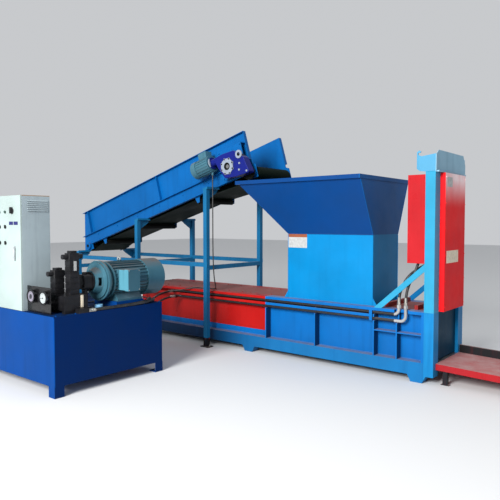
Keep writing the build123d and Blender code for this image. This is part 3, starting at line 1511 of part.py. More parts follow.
# Oil tank: welded box with its lid plate, standing on four feet bolted to the floor
tank_cx = (TANK_X0 + TANK_X1) / 2
tank_cy = (TANK_Y0 + TANK_Y1) / 2
tank_l = TANK_X1 - TANK_X0
tank_w = TANK_Y1 - TANK_Y0
with BuildPart() as oil_tank:
    with BuildSketch(Plane.XY.offset(TANK_Z0)):
        with Locations((tank_cx, tank_cy)):
            Rectangle(tank_l, tank_w)
    extrude(amount=TANK_Z1 - TANK_Z0)
    fillet(oil_tank.edges().filter_by(Axis.Z), radius=10)
    with BuildSketch(Plane.XY.offset(TANK_Z0 + TANK_SHEET)):
        with Locations((tank_cx, tank_cy)):
            Rectangle(tank_l - 2 * TANK_SHEET, tank_w - 2 * TANK_SHEET)
    extrude(amount=TANK_Z1 - TANK_Z0 - TANK_SHEET, mode=Mode.SUBTRACT)
    with BuildSketch(Plane.XY.offset(TANK_Z1)):
        with Locations((tank_cx, tank_cy)):
            Rectangle(tank_l, tank_w)
        with Locations((CAP_X, CAP_Y)):
            Circle(NECK_R + SHAFT_FIT, mode=Mode.SUBTRACT)
    extrude(amount=LID_T)
    for dx in (-1, 1):
        for dy in (-1, 1):
            foot_x = tank_cx + dx * (tank_l - TANK_FOOT_W) / 2
            foot_y = tank_cy + dy * (tank_w - TANK_FOOT_W) / 2
            with BuildSketch(Plane.XY.offset(TANK_FOOT_T)):
                with Locations((foot_x, foot_y)):
                    Rectangle(TANK_FOOT_W, TANK_FOOT_W)
                with Locations((foot_x - dx * TANK_SHEET, foot_y - dy * TANK_SHEET)):
                    Rectangle(TANK_FOOT_W, TANK_FOOT_W, mode=Mode.SUBTRACT)
            extrude(amount=TANK_Z0 - TANK_FOOT_T)
            with BuildSketch():
                with Locations((foot_x, foot_y)):
                    Rectangle(TANK_FOOT_W, TANK_FOOT_W)
                    Circle(TANK_FOOT_HOLE / 2, mode=Mode.SUBTRACT)
            extrude(amount=TANK_FOOT_T)
save(oil_tank, "oil_tank")

with BuildPart() as filler_cap:
    with BuildSketch(Plane.XY.offset(LID_Z)):
        with Locations((CAP_X, CAP_Y)):
            Circle(CAP_R)
    extrude(amount=CAP_H)
    chamfer(filler_cap.faces().sort_by(Axis.Z)[-1].edges(), length=3)
    with BuildSketch(Plane.XY.offset(LID_Z)):
        with Locations((CAP_X, CAP_Y)):
            with PolarLocations(CAP_R + 3, 12):
                Circle(5)
    extrude(amount=CAP_H, mode=Mode.SUBTRACT)
    with BuildSketch(Plane.XY.offset(LID_Z - LID_T - 30)):
        with Locations((CAP_X, CAP_Y)):
            Circle(NECK_R)
    extrude(amount=LID_T + 30)
save(filler_cap, "filler_cap")

# Pump motor on its base frame
motor_cy = (FOOT_Y0 + FOOT_Y1) / 2
with BuildPart() as motor_base:
    with BuildSketch(Plane.XY.offset(LID_Z)):
        with Locations((MOTOR_X, motor_cy)):
            Rectangle(BASE_W, FOOT_Y1 - FOOT_Y0 + 40)
            Rectangle(BASE_W - 2 * BASE_RAIL, FOOT_Y1 - FOOT_Y0 + 40 - 2 * BASE_RAIL, mode=Mode.SUBTRACT)
    extrude(amount=BASE_H)
save(motor_base, "motor_base")

motor_axis = Axis((MOTOR_X, 0, MOTOR_Z), (0, 1, 0))
feet_z = LID_Z + BASE_H
with BuildPart() as pump_motor:
    # Flange, end shields and body turned about the shaft
    with BuildSketch(Plane.YZ.offset(MOTOR_X)):
        with BuildLine():
            Polyline(
                (MOTOR_Y0, MOTOR_Z + MOTOR_SHAFT_R + SHAFT_FIT),
                (MOTOR_Y0, MOTOR_Z + MOTOR_FLANGE_R),
                (MOTOR_Y0 + MOTOR_FLANGE_T, MOTOR_Z + MOTOR_FLANGE_R),
                (MOTOR_Y0 + MOTOR_FLANGE_T, MOTOR_Z + MOTOR_R - 40),
                (FIN_Y0 - 16, MOTOR_Z + MOTOR_R - 18),
                (FIN_Y0 - 16, MOTOR_Z + FIN_R),
                (FIN_Y0, MOTOR_Z + FIN_R),
                (FIN_Y0, MOTOR_Z + MOTOR_R),
                (COWL_Y, MOTOR_Z + MOTOR_R),
                (COWL_Y, MOTOR_Z + COWL_R - COWL_SHEET),
                (COWL_Y + 14, MOTOR_Z + COWL_R - COWL_SHEET),
                (COWL_Y + 14, MOTOR_Z + MOTOR_SHAFT_R + SHAFT_FIT),
                close=True,
            )
        make_face()
    revolve(axis=motor_axis)
    with BuildSketch(Plane.XZ.offset(-FIN_Y0)):
        with Locations((MOTOR_X, MOTOR_Z)):
            with PolarLocations((MOTOR_R + FIN_R) / 2 - 1, FIN_COUNT):
                Rectangle(FIN_R - MOTOR_R + 2, FIN_T)
    extrude(amount=-(COWL_Y - FIN_Y0))
    # Feet with their webs
    with BuildSketch(Plane.XZ.offset(-FOOT_Y0)):
        with BuildLine():
            Polyline(
                (MOTOR_X - FOOT_SPAN / 2, feet_z),
                (MOTOR_X + FOOT_SPAN / 2, feet_z),
                (MOTOR_X + FOOT_SPAN / 2, feet_z + FOOT_PLATE_T),
                (MOTOR_X + 150, feet_z + FOOT_PLATE_T + 60),
                (MOTOR_X - 150, feet_z + FOOT_PLATE_T + 60),
                (MOTOR_X - FOOT_SPAN / 2, feet_z + FOOT_PLATE_T),
                close=True,
            )
        make_face()
    extrude(amount=-(FOOT_Y1 - FOOT_Y0))
    # Terminal box with its overhanging lid
    with BuildSketch(Plane.YZ.offset(MOTOR_X + MOTOR_R - 30)):
        with Locations(((BOX_Y0 + BOX_Y1) / 2, (BOX_Z0 + BOX_Z1) / 2)):
            Rectangle(BOX_Y1 - BOX_Y0 - 16, BOX_Z1 - BOX_Z0 - 16)
    extrude(amount=BOX_OUT_X - 60 - MOTOR_X - MOTOR_R + 30)
    with BuildSketch(Plane.YZ.offset(BOX_OUT_X - 60)):
        with Locations(((BOX_Y0 + BOX_Y1) / 2, (BOX_Z0 + BOX_Z1) / 2)):
            RectangleRounded(BOX_Y1 - BOX_Y0, BOX_Z1 - BOX_Z0, 10)
    extrude(amount=60)
    # Lifting eye on top
    with BuildSketch(Plane.XZ.offset(-EYE_Y - 8)):
        with Locations((MOTOR_X, MOTOR_Z + FIN_R + 18)):
            Circle(28)
            Circle(15, mode=Mode.SUBTRACT)
        with Locations((MOTOR_X, MOTOR_Z + MOTOR_R + 6)):
            Rectangle(36, 30)
            with Locations((0, 12)):
                Circle(15, mode=Mode.SUBTRACT)
    extrude(amount=16)
    # Sheet cowl over the fan, with air slots in its end
    with BuildSketch(Plane.YZ.offset(MOTOR_X)):
        with BuildLine():
            Polyline(
                (COWL_Y + RUN, MOTOR_Z + COWL_R - COWL_SHEET),
                (COWL_Y + RUN, MOTOR_Z + COWL_R),
                (MOTOR_Y1 - 24, MOTOR_Z + COWL_R),
                (MOTOR_Y1, MOTOR_Z + COWL_R - 30),
                (MOTOR_Y1, MOTOR_Z + COWL_R - 32),
                (MOTOR_Y1 - COWL_SHEET, MOTOR_Z + COWL_R - 32),
                (MOTOR_Y1 - COWL_SHEET, MOTOR_Z + COWL_R - 31),
                (MOTOR_Y1 - 25, MOTOR_Z + COWL_R - COWL_SHEET),
                close=True,
            )
        make_face()
    revolve(axis=motor_axis)
    with BuildSketch(Plane.XZ.offset(-MOTOR_Y1)):
        with Locations((MOTOR_X, MOTOR_Z)):
            Circle(COWL_R - 28)
            for ring_r in (160, 130, 100, 70):
                Circle(ring_r + GRILLE_SLOT / 2, mode=Mode.SUBTRACT)
                Circle(ring_r - GRILLE_SLOT / 2)
            with PolarLocations(110, 6):
                Rectangle(120, 12)
    extrude(amount=COWL_SHEET)
save(pump_motor, "pump_motor")

# Shaft with its fan inside the cowl and the coupling half inside the bell
bell_y0 = MOTOR_Y0 - BELL_LEN
with BuildPart() as motor_shaft:
    with BuildSketch(Plane.YZ.offset(MOTOR_X)):
        with BuildLine():
            Polyline(
                (bell_y0 + 12, MOTOR_Z),
                (bell_y0 + 12, MOTOR_Z + COUPLING_R),
                (MOTOR_Y0 - 14, MOTOR_Z + COUPLING_R),
                (MOTOR_Y0 - 14, MOTOR_Z + MOTOR_SHAFT_R),
                (COWL_Y + 40, MOTOR_Z + MOTOR_SHAFT_R),
                (COWL_Y + 40, MOTOR_Z + 55),
                (COWL_Y + 120, MOTOR_Z + 55),
                (COWL_Y + 120, MOTOR_Z),
                close=True,
            )
        make_face()
    revolve(axis=motor_axis)
    with BuildSketch(Plane.XZ.offset(-COWL_Y - 50)):
        with Locations((MOTOR_X, MOTOR_Z)):
            Circle(FAN_R)
    extrude(amount=-6)
    with BuildSketch(Plane.XZ.offset(-COWL_Y - 50)):
        with Locations((MOTOR_X, MOTOR_Z)):
            with PolarLocations(FAN_R / 2 + 20, 9):
                Rectangle(FAN_R - 44, 5)
    extrude(amount=-60)
save(motor_shaft, "motor_shaft")

# Bell housing between motor and pump, a cast ring with two windows
pump_face = bell_y0 - PUMP_LEN
with BuildPart() as bell_housing:
    with BuildSketch(Plane.YZ.offset(MOTOR_X)):
        with BuildLine():
            Polyline(
                (MOTOR_Y0, MOTOR_Z + BELL_R - BELL_WALL),
                (MOTOR_Y0, MOTOR_Z + MOTOR_FLANGE_R - 25),
                (MOTOR_Y0 - 16, MOTOR_Z + MOTOR_FLANGE_R - 25),
                (MOTOR_Y0 - 22, MOTOR_Z + BELL_R),
                (bell_y0, MOTOR_Z + BELL_R - 30),
                (bell_y0, MOTOR_Z + 45),
                (bell_y0 + 10, MOTOR_Z + 45),
                (bell_y0 + 10, MOTOR_Z + BELL_R - 30 - BELL_WALL),
                close=True,
            )
        make_face()
    revolve(axis=motor_axis)
    with BuildSketch(Plane.XY.offset(MOTOR_Z - 45)):
        with Locations((MOTOR_X, (MOTOR_Y0 + bell_y0) / 2 - 4)):
            Rectangle(2 * BELL_R + 10, 44)
    extrude(amount=90, mode=Mode.SUBTRACT)
save(bell_housing, "bell_housing")

# Pump with rounded body, end covers, pressure outlet on top and suction leg to the tank
with BuildPart() as hydraulic_pump:
    with BuildSketch(Plane.XZ.offset(-bell_y0)):
        with Locations((MOTOR_X, MOTOR_Z)):
            Circle(PUMP_FLANGE_R)
    extrude(amount=18)
    with BuildSketch(Plane.XZ.offset(-bell_y0)):
        with Locations((MOTOR_X, MOTOR_Z)):
            RectangleRounded(PUMP_W, PUMP_W, 34)
    extrude(amount=PUMP_LEN - 10)
    with BuildSketch(Plane.XZ.offset(-pump_face - 10)):
        with Locations((MOTOR_X, MOTOR_Z)):
            Circle(PUMP_W / 2 - 14)
    extrude(amount=10)
    with BuildSketch(Plane.XY.offset(LID_Z + 14)):
        with Locations((MOTOR_X, bell_y0 - PUMP_LEN / 2)):
            Circle(SUCTION_R)
    extrude(amount=MOTOR_Z - PUMP_W / 2 - LID_Z - 14)
    with BuildSketch(Plane.XY.offset(LID_Z)):
        with Locations((MOTOR_X, bell_y0 - PUMP_LEN / 2)):
            Rectangle(2 * SUCTION_R + 30, 2 * SUCTION_R + 30)
    extrude(amount=14)
    with BuildSketch(Plane.XY.offset(MOTOR_Z + PUMP_W / 2)):
        with Locations((MOTOR_X, bell_y0 - PUMP_LEN / 2)):
            RegularPolygon(28, 6)
    extrude(amount=26)
save(hydraulic_pump, "hydraulic_pump")


def valve_stack(x, y, plates):
    """Sandwich plates under a directional valve with a solenoid at each end."""
    top = MANIFOLD_Z1 + plates * VALVE_PLATE
    with BuildPart() as stack:
        for level in range(plates):
            plate_z = MANIFOLD_Z1 + level * VALVE_PLATE
            with BuildSketch(Plane.XY.offset(plate_z)):
                with Locations((x, y)):
                    Rectangle(VALVE_W, VALVE_L)
            extrude(amount=VALVE_PLATE - 4)
            with BuildSketch(Plane.XY.offset(plate_z)):
                with Locations((x, y)):
                    Rectangle(VALVE_W - 12, VALVE_L - 12)
            extrude(amount=VALVE_PLATE)
        with BuildSketch(Plane.XY.offset(top)):
            with Locations((x, y)):
                RectangleRounded(VALVE_W - 6, VALVE_L + 14, 8)
        extrude(amount=VALVE_BODY_H)
        with BuildSketch(Plane.XZ.offset(-y - VALVE_L / 2 - SOLENOID_LEN)):
            with Locations((x, top + VALVE_BODY_H / 2)):
                Circle(SOLENOID_R)
        extrude(amount=VALVE_L + 2 * SOLENOID_LEN)
        with BuildSketch(Plane.XY.offset(top + VALVE_BODY_H - 6)):
            with Locations((x, y)):
                Rectangle(VALVE_W - 26, VALVE_L - 40)
        extrude(amount=30)
    return stack


left_stack = valve_stack(STACK_LEFT_X, STACK_LEFT_Y, 3)
right_stack = valve_stack(STACK_RIGHT_X, STACK_RIGHT_Y, 6)

# Manifold block with two valve stacks, relief valve and the port block for the hoses
with BuildPart() as valve_manifold:
    manifold_cx = (MANIFOLD_X0 + MANIFOLD_X1) / 2
    manifold_cy = (MANIFOLD_Y0 + MANIFOLD_Y1) / 2
    with BuildSketch(Plane.XY.offset(MANIFOLD_Z0)):
        with Locations((manifold_cx, manifold_cy)):
            Rectangle(MANIFOLD_X1 - MANIFOLD_X0, MANIFOLD_Y1 - MANIFOLD_Y0)
    extrude(amount=MANIFOLD_Z1 - MANIFOLD_Z0)
    with BuildSketch(Plane.XY.offset(LID_Z)):
        with Locations((MANIFOLD_X0 + 30, manifold_cy), (MANIFOLD_X1 - 30, manifold_cy)):
            Rectangle(50, MANIFOLD_Y1 - MANIFOLD_Y0)
    extrude(amount=MANIFOLD_FOOT)
    add(left_stack.part)
    add(right_stack.part)
    # Relief valve with its knurled knob, towards the operator side
    with BuildSketch(Plane.XZ.offset(-MANIFOLD_Y0)):
        with Locations((manifold_cx, (MANIFOLD_Z0 + MANIFOLD_Z1) / 2)):
            RegularPolygon(26, 6)
    extrude(amount=30)
    with BuildSketch(Plane.XZ.offset(-MANIFOLD_Y0 + 30)):
        with Locations((manifold_cx, (MANIFOLD_Z0 + MANIFOLD_Z1) / 2)):
            Circle(18)
    extrude(amount=36)
    # Port block beside the manifold
    with BuildSketch(Plane.XY.offset(LID_Z)):
        with Locations(((MANIFOLD_X1 - 10 + PORT_X + 34) / 2, PORT_FACE_Y - 60)):
            Rectangle(PORT_X + 34 - MANIFOLD_X1 + 10, 120)
    extrude(amount=PORT_BLOCK_H)
    # Port faces that lead into the hoses
    with BuildSketch(Plane.XZ.offset(-PORT_FACE_Y)):
        with Locations((PORT_X, LID_Z + PORT_BLOCK_H / 2)):
            Rectangle(2 * 36, PORT_BLOCK_H)
    extrude(amount=12)
save(valve_manifold, "valve_manifold")

# Gauge panel on the tank lid, a bent sheet, with two gauges in its holes
gauge_xs = (GAUGE_X - GAUGE_SPAN / 2, GAUGE_X + GAUGE_SPAN / 2)
panel_cx = CAB_X1 + PANEL_GAP + GAUGE_PANEL_W / 2
with BuildPart() as gauge_panel:
    with BuildSketch(Plane.XZ.offset(-GAUGE_PANEL_Y)):
        with Locations((panel_cx, LID_Z + GAUGE_PANEL_H / 2)):
            Rectangle(GAUGE_PANEL_W, GAUGE_PANEL_H)
        for x in gauge_xs:
            with Locations((x, GAUGE_Z)):
                Circle(GAUGE_STEM_R + SHAFT_FIT, mode=Mode.SUBTRACT)
    extrude(amount=GAUGE_PANEL_T)
    with BuildSketch(Plane.XY.offset(LID_Z)):
        with Locations((panel_cx, GAUGE_PANEL_Y + 20)):
            Rectangle(GAUGE_PANEL_W, 40)
    extrude(amount=GAUGE_PANEL_T)
    for x in gauge_xs:
        with BuildSketch(Plane.YZ.offset(x)):
            with BuildLine():
                Polyline(
                    (GAUGE_PANEL_Y + 24, GAUGE_Z),
                    (GAUGE_PANEL_Y + 24, GAUGE_Z + GAUGE_STEM_R),
                    (GAUGE_PANEL_Y - GAUGE_PANEL_T, GAUGE_Z + GAUGE_STEM_R),
                    (GAUGE_PANEL_Y - GAUGE_PANEL_T, GAUGE_Z + GAUGE_R - 8),
                    (GAUGE_PANEL_Y - GAUGE_PANEL_T - GAUGE_DEPTH + 12, GAUGE_Z + GAUGE_R - 4),
                    (GAUGE_PANEL_Y - GAUGE_PANEL_T - GAUGE_DEPTH + 10, GAUGE_Z + GAUGE_R),
                    (GAUGE_PANEL_Y - GAUGE_PANEL_T - GAUGE_DEPTH, GAUGE_Z + GAUGE_R - 2),
                    (GAUGE_PANEL_Y - GAUGE_PANEL_T - GAUGE_DEPTH, GAUGE_Z + GAUGE_R - 9),
                    (GAUGE_PANEL_Y - GAUGE_PANEL_T - GAUGE_DEPTH + 5, GAUGE_Z + GAUGE_R - 11),
                    (GAUGE_PANEL_Y - GAUGE_PANEL_T - GAUGE_DEPTH + 5, GAUGE_Z),
                    close=True,
                )
            make_face()
        revolve(axis=Axis((x, 0, GAUGE_Z), (0, 1, 0)))
save(gauge_panel, "gauge_panel")

# Cabinet body: folded sheet box, open in front, with louvres in its right side
cab_cx = (CAB_X0 + CAB_X1) / 2
cab_w = CAB_X1 - CAB_X0
cab_front = CAB_Y0 + DOOR_T + DOOR_GAP
cab_back = CAB_Y0 + CAB_DEPTH
with BuildPart() as cabinet_body:
    with BuildSketch(Plane.XZ.offset(-cab_back)):
        with Locations((cab_cx, LID_Z + CAB_H / 2)):
            Rectangle(cab_w, CAB_H)
    extrude(amount=cab_back - cab_front)
    with BuildSketch(Plane.XZ.offset(-cab_back + CAB_SHEET)):
        with Locations((cab_cx, LID_Z + CAB_H / 2)):
            Rectangle(cab_w - 2 * CAB_SHEET, CAB_H - 2 * CAB_SHEET)
    extrude(amount=cab_back - cab_front - 2 * CAB_SHEET, mode=Mode.SUBTRACT)
    with BuildSketch(Plane.XZ.offset(-cab_front - CAB_SHEET)):
        with Locations((cab_cx, LID_Z + CAB_H / 2)):
            Rectangle(cab_w - 2 * LIP, CAB_H - 2 * LIP)
    extrude(amount=2 * CAB_SHEET, mode=Mode.SUBTRACT)
    # Louvres
    louvre_cy = (LOUVRE_Y0 + LOUVRE_Y1) / 2
    for row in range(LOUVRE_ROWS):
        louvre_z = LOUVRE_Z0 + row * LOUVRE_PITCH
        with BuildSketch(Plane.YZ.offset(CAB_X1 - CAB_SHEET)):
            with Locations((louvre_cy, louvre_z)):
                Rectangle(LOUVRE_Y1 - LOUVRE_Y0, 10)
        extrude(amount=CAB_SHEET, mode=Mode.SUBTRACT)
        with BuildSketch(Plane.XZ.offset(-LOUVRE_Y1)):
            with BuildLine():
                Polyline(
                    (CAB_X1 - 1, louvre_z + 12),
                    (CAB_X1, louvre_z + 12),
                    (CAB_X1 + 8, louvre_z - 2),
                    (CAB_X1 + 6, louvre_z - 4),
                    (CAB_X1 - 1, louvre_z + 8),
                    close=True,
                )
            make_face()
        extrude(amount=LOUVRE_Y1 - LOUVRE_Y0)
    # Gland for the conveyor's cable in the back
    with BuildSketch(Plane.XZ.offset(-cab_back - 26)):
        with Locations((CABLE_END_X, CABLE_END_Z)):
            RegularPolygon(GLAND_R, 6)
    extrude(amount=26)
    # Hinge lugs and pins on the left edge
    for hinge_z in HINGE_HEIGHTS:
        z = LID_Z + hinge_z
        with BuildSketch(Plane.XY.offset(z - HINGE_LEN / 2)):
            with Locations((CAB_X0 - HINGE_OUT, cab_front - DOOR_GAP)):
                Circle(HINGE_R)
            with Locations((CAB_X0 - HINGE_OUT / 2, cab_front - DOOR_GAP + 4 + HINGE_R)):
                Rectangle(HINGE_OUT + 2, 2 * HINGE_R + 4)
        extrude(amount=HINGE_LEN / 2 - RUN)
        with BuildSketch(Plane.XY.offset(z - HINGE_LEN / 2)):
            with Locations((CAB_X0 - HINGE_OUT, cab_front - DOOR_GAP)):
                Circle(HINGE_PIN_R)
        extrude(amount=HINGE_LEN)
save(cabinet_body, "cabinet_body")

# Door: folded tray with its hinge knuckles and the holes for the controls
control_holes = [(x, z) for x in CONTROL_XS for z in CONTROL_ZS]
with BuildPart() as cabinet_door:
    with BuildSketch(Plane.XZ.offset(-CAB_Y0 - DOOR_T)):
        with Locations((cab_cx, LID_Z + CAB_H / 2)):
            Rectangle(cab_w - 2 * DOOR_GAP, CAB_H - 2 * DOOR_GAP)
    extrude(amount=DOOR_T)
    fillet(cabinet_door.faces().sort_by(Axis.Y)[0].edges(), radius=3)
    with BuildSketch(Plane.XZ.offset(-CAB_Y0 - DOOR_T)):
        with Locations((cab_cx, LID_Z + CAB_H / 2)):
            Rectangle(cab_w - 2 * DOOR_GAP - 2 * DOOR_SHEET, CAB_H - 2 * DOOR_GAP - 2 * DOOR_SHEET)
    extrude(amount=DOOR_T - DOOR_SHEET, mode=Mode.SUBTRACT)
    with BuildSketch(Plane.XZ.offset(-CAB_Y0)):
        for x, z in control_holes:
            with Locations((x, z)):
                Circle(STEM_R + SHAFT_FIT)
        with Locations((SWITCH_X, SWITCH_Z)):
            Circle(STEM_R + SHAFT_FIT)
        with Locations((HANDLE_X, HANDLE_Z)):
            Circle(HANDLE_SHAFT_R + SHAFT_FIT)
    extrude(amount=-DOOR_T, mode=Mode.SUBTRACT)
    for hinge_z in HINGE_HEIGHTS:
        z = LID_Z + hinge_z
        with BuildSketch(Plane.XY.offset(z)):
            with Locations((CAB_X0 - HINGE_OUT, cab_front - DOOR_GAP)):
                Circle(HINGE_R)
            with Locations((CAB_X0 - HINGE_OUT / 2 + 2, cab_front - DOOR_GAP - HINGE_R / 2)):
                Rectangle(HINGE_OUT + 6, HINGE_R)
            with Locations((CAB_X0 - HINGE_OUT, cab_front - DOOR_GAP)):
                Circle(HINGE_PIN_R + SHAFT_FIT, mode=Mode.SUBTRACT)
        extrude(amount=HINGE_LEN / 2)
save(cabinet_door, "cabinet_door")

# Lever handle: turns on a shaft through the door, with a short cam inside
with BuildPart() as door_handle:
    with BuildSketch(Plane.XZ.offset(-CAB_Y0 - DOOR_T + 6)):
        with Locations((HANDLE_X, HANDLE_Z)):
            Circle(HANDLE_SHAFT_R)
    extrude(amount=DOOR_T + 20)
    with BuildSketch(Plane.XZ.offset(-CAB_Y0 + 6)):
        with BuildLine():
            Polyline(
                (HANDLE_X - 13, HANDLE_Z + 13),
                (HANDLE_X + 13, HANDLE_Z + 13),
                (HANDLE_X + 9, HANDLE_Z - HANDLE_LEN),
                (HANDLE_X - 9, HANDLE_Z - HANDLE_LEN),
                close=True,
            )
        make_face()
    extrude(amount=14)
    fillet(door_handle.faces().sort_by(Axis.Y)[0].edges(), radius=4)
    with BuildSketch(Plane.XZ.offset(-CAB_Y0)):
        with Locations((HANDLE_X, HANDLE_Z)):
            Circle(17)
    extrude(amount=6)
    with BuildSketch(Plane.XZ.offset(-CAB_Y0 - DOOR_T + 6)):
        with Locations((HANDLE_X + 26, HANDLE_Z)):
            Rectangle(70, 20)
    extrude(amount=4)
save(door_handle, "door_handle")


def control(style, x, z):
    """One control on the door, in front of its stem through the hole."""
    with BuildPart() as piece:
        with BuildSketch(Plane.XZ.offset(-CAB_Y0 - DOOR_T)):
            with Locations((x, z)):
                Circle(STEM_R)
        extrude(amount=DOOR_T + CONTROL_GAP)
        if style == "button":
            with BuildSketch(Plane.XZ.offset(-CAB_Y0 + CONTROL_GAP)):
                with Locations((x, z)):
                    Circle(BUTTON_R)
            extrude(amount=BUTTON_H)
            chamfer(piece.faces().sort_by(Axis.Y)[0].edges(), length=2)
        else:
            grip = SWITCH_R if style == "switch" else SELECTOR_R
            with BuildSketch(Plane.XZ.offset(-CAB_Y0 + RUN)):
                with Locations((x, z)):
                    Circle(grip)
            extrude(amount=grip / 3)
            with BuildSketch(Plane.XZ.offset(-CAB_Y0 + RUN)):
                with Locations((x, z + grip * 0.25)):
                    SlotOverall(2.3 * grip, 0.7 * grip, rotation=90)
            extrude(amount=grip)
    return piece


for number, x in enumerate(CONTROL_XS, start=1):
    push_button = control("button", x, CONTROL_ZS[0])
    save(push_button, f"push_button_{number}")
    for row, z in enumerate(CONTROL_ZS[1:]):
        selector = control("selector", x, z)
        save(selector, f"selector_{number + 2 * row}")
main_switch = control("switch", SWITCH_X, SWITCH_Z)
save(main_switch, "main_switch")

# Mounting plate inside the cabinet with rails and switchgear
plate_y = cab_back - CAB_SHEET - PLATE_STANDOFF
with BuildPart() as device_plate:
    with BuildSketch(Plane.XZ.offset(-plate_y)):
        with Locations((cab_cx, LID_Z + CAB_H / 2)):
            Rectangle(cab_w - PLATE_MARGIN, CAB_H - PLATE_MARGIN)
    extrude(amount=3)
    with BuildSketch(Plane.XZ.offset(-plate_y)):
        with Locations((cab_cx, LID_Z + CAB_H / 2)):
            with GridLocations(cab_w - PLATE_MARGIN - 40, CAB_H - PLATE_MARGIN - 40, 2, 2):
                Circle(8)
    extrude(amount=-PLATE_STANDOFF)
    for level, widths in enumerate(((60, 60, 90), (45, 45, 45, 45, 45), (110, 70), (30,) * 8)):
        rail_z = LID_Z + CAB_H - 190 - level * 270
        with BuildSketch(Plane.XZ.offset(-plate_y + 3)):
            with Locations((cab_cx, rail_z)):
                Rectangle(cab_w - PLATE_MARGIN - 60, 35)
        extrude(amount=8)
        x = cab_cx - (cab_w - PLATE_MARGIN) / 2 + 50
        for width in widths:
            with BuildSketch(Plane.XZ.offset(-plate_y + 8)):
                with Locations((x + width / 2, rail_z)):
                    Rectangle(width - 4, 90)
            extrude(amount=70)
            x += width
save(device_plate, "device_plate")
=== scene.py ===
# %% [markdown]
# # Dressing a horizontal recycling baler
# The machine is a long press with a flared hopper, a belt conveyor that leans up to it, a lift-gate
# tower, a discharge table and a power unit beside it. Its solids come from the frame; this lesson gives
# them paint, dust, rubber and steel, and adds the small parts that a solid model leaves out.

from math import atan2, cos, hypot, pi, radians, sin, tan

import bpy
import numpy as np
from mathutils import Euler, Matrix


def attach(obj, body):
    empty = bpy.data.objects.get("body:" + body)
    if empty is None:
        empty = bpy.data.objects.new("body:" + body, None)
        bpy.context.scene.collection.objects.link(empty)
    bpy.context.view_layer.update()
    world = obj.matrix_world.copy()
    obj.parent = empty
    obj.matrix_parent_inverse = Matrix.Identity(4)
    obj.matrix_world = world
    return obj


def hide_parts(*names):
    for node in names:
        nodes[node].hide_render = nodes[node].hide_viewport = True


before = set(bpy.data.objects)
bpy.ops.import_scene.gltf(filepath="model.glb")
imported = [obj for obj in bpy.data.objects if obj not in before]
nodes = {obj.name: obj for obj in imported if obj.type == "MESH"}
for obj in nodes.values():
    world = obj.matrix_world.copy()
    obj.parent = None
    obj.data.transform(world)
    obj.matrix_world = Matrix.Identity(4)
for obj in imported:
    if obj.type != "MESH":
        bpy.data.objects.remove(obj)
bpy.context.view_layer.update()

# %% [markdown]
# ## Camera
# A photograph fixes seven numbers: where the camera stands, where it points, and how long its lens is.
# Long parallel edges of the press and the tank solve them, so the view matches the photo without moving
# any piece. The shift is a few pixels only.

# %% Camera
scene = bpy.context.scene
camera_data = bpy.data.cameras.new("camera")
camera_data.lens = 40.64
camera_data.sensor_width = 36
camera_data.shift_x = 0.0005
camera_data.shift_y = -0.0061
camera = bpy.data.objects.new("camera", camera_data)
camera.location = (4.734, -6.347, 1.75)
camera.rotation_euler = Euler((radians(90 - 2.445), 0, radians(39.33)))
scene.collection.objects.link(camera)
scene.camera = camera
print("lens", camera_data.lens)

# %% [markdown]
# ## Light and floor
# Light comes from the operator's side, so the long sides are about four times as bright as the ends. One
# large soft lamp does that, a weak one lights what faces up, and the sky and the pale floor fill the rest.


# %% Light and floor
def fill(node, values):
    """Sets the node's inputs by name."""
    for key, value in values.items():
        node.inputs[key].default_value = value


def area_light(name, place, aim, size, power, colour):
    """Square lamp at place that faces aim."""
    data = bpy.data.lights.new(name, "AREA")
    data.shape = "SQUARE"
    data.size = size
    data.energy = power
    data.color = colour
    lamp = bpy.data.objects.new(name, data)
    direction = np.array(aim, float) - np.array(place, float)
    flat = hypot(direction[0], direction[1])
    lamp.location = place
    lamp.rotation_euler = (pi / 2 + atan2(direction[2], flat), 0, atan2(-direction[0], direction[1]))
    scene.collection.objects.link(lamp)


area_light("key", (2.4, -14.0, 6.8), (0.0, -0.5, 1.0), 5.0, 3600, (1.0, 0.99, 0.97))
area_light("top", (0.0, 1.0, 9.5), (0.0, 0.0, 0.5), 7.0, 60, (1.0, 1.0, 1.0))

world = bpy.data.worlds.new("studio")
world.use_nodes = True
fill(world.node_tree.nodes["Background"], {"Color": (0.93, 0.95, 0.98, 1), "Strength": 0.62})
scene.world = world
scene.view_settings.view_transform = "Standard"

FLOOR_HALF = 40
floor_corners = [(FLOOR_HALF * x, FLOOR_HALF * y, 0) for x, y in ((-1, -1), (1, -1), (1, 1), (-1, 1))]
floor_mesh = bpy.data.meshes.new("floor")
floor_mesh.from_pydata(floor_corners, [], [(0, 1, 2, 3)])
floor = bpy.data.objects.new("floor", floor_mesh)
floor.location.z = -0.001
scene.collection.objects.link(floor)
floor_paper = bpy.data.materials.new("floor_paper")
floor_paper.use_nodes = True
floor_shader = floor_paper.node_tree.nodes["Principled BSDF"]
fill(floor_shader, {"Base Color": (0.62, 0.63, 0.64, 1), "Roughness": 0.9})
floor_mesh.materials.append(floor_paper)

# %% [markdown]
# ## Hoses and the cable
# A hose keeps its length, bends in one smooth line and sags between its fittings. The points below are
# the same ones that guide the solid tubes, so the curves lie where the tubes were.


# %% Routes
def metres(*points):
    """Points given in millimetres, as tuples in metres."""
    return [tuple(value / 1000 for value in point) for point in points]


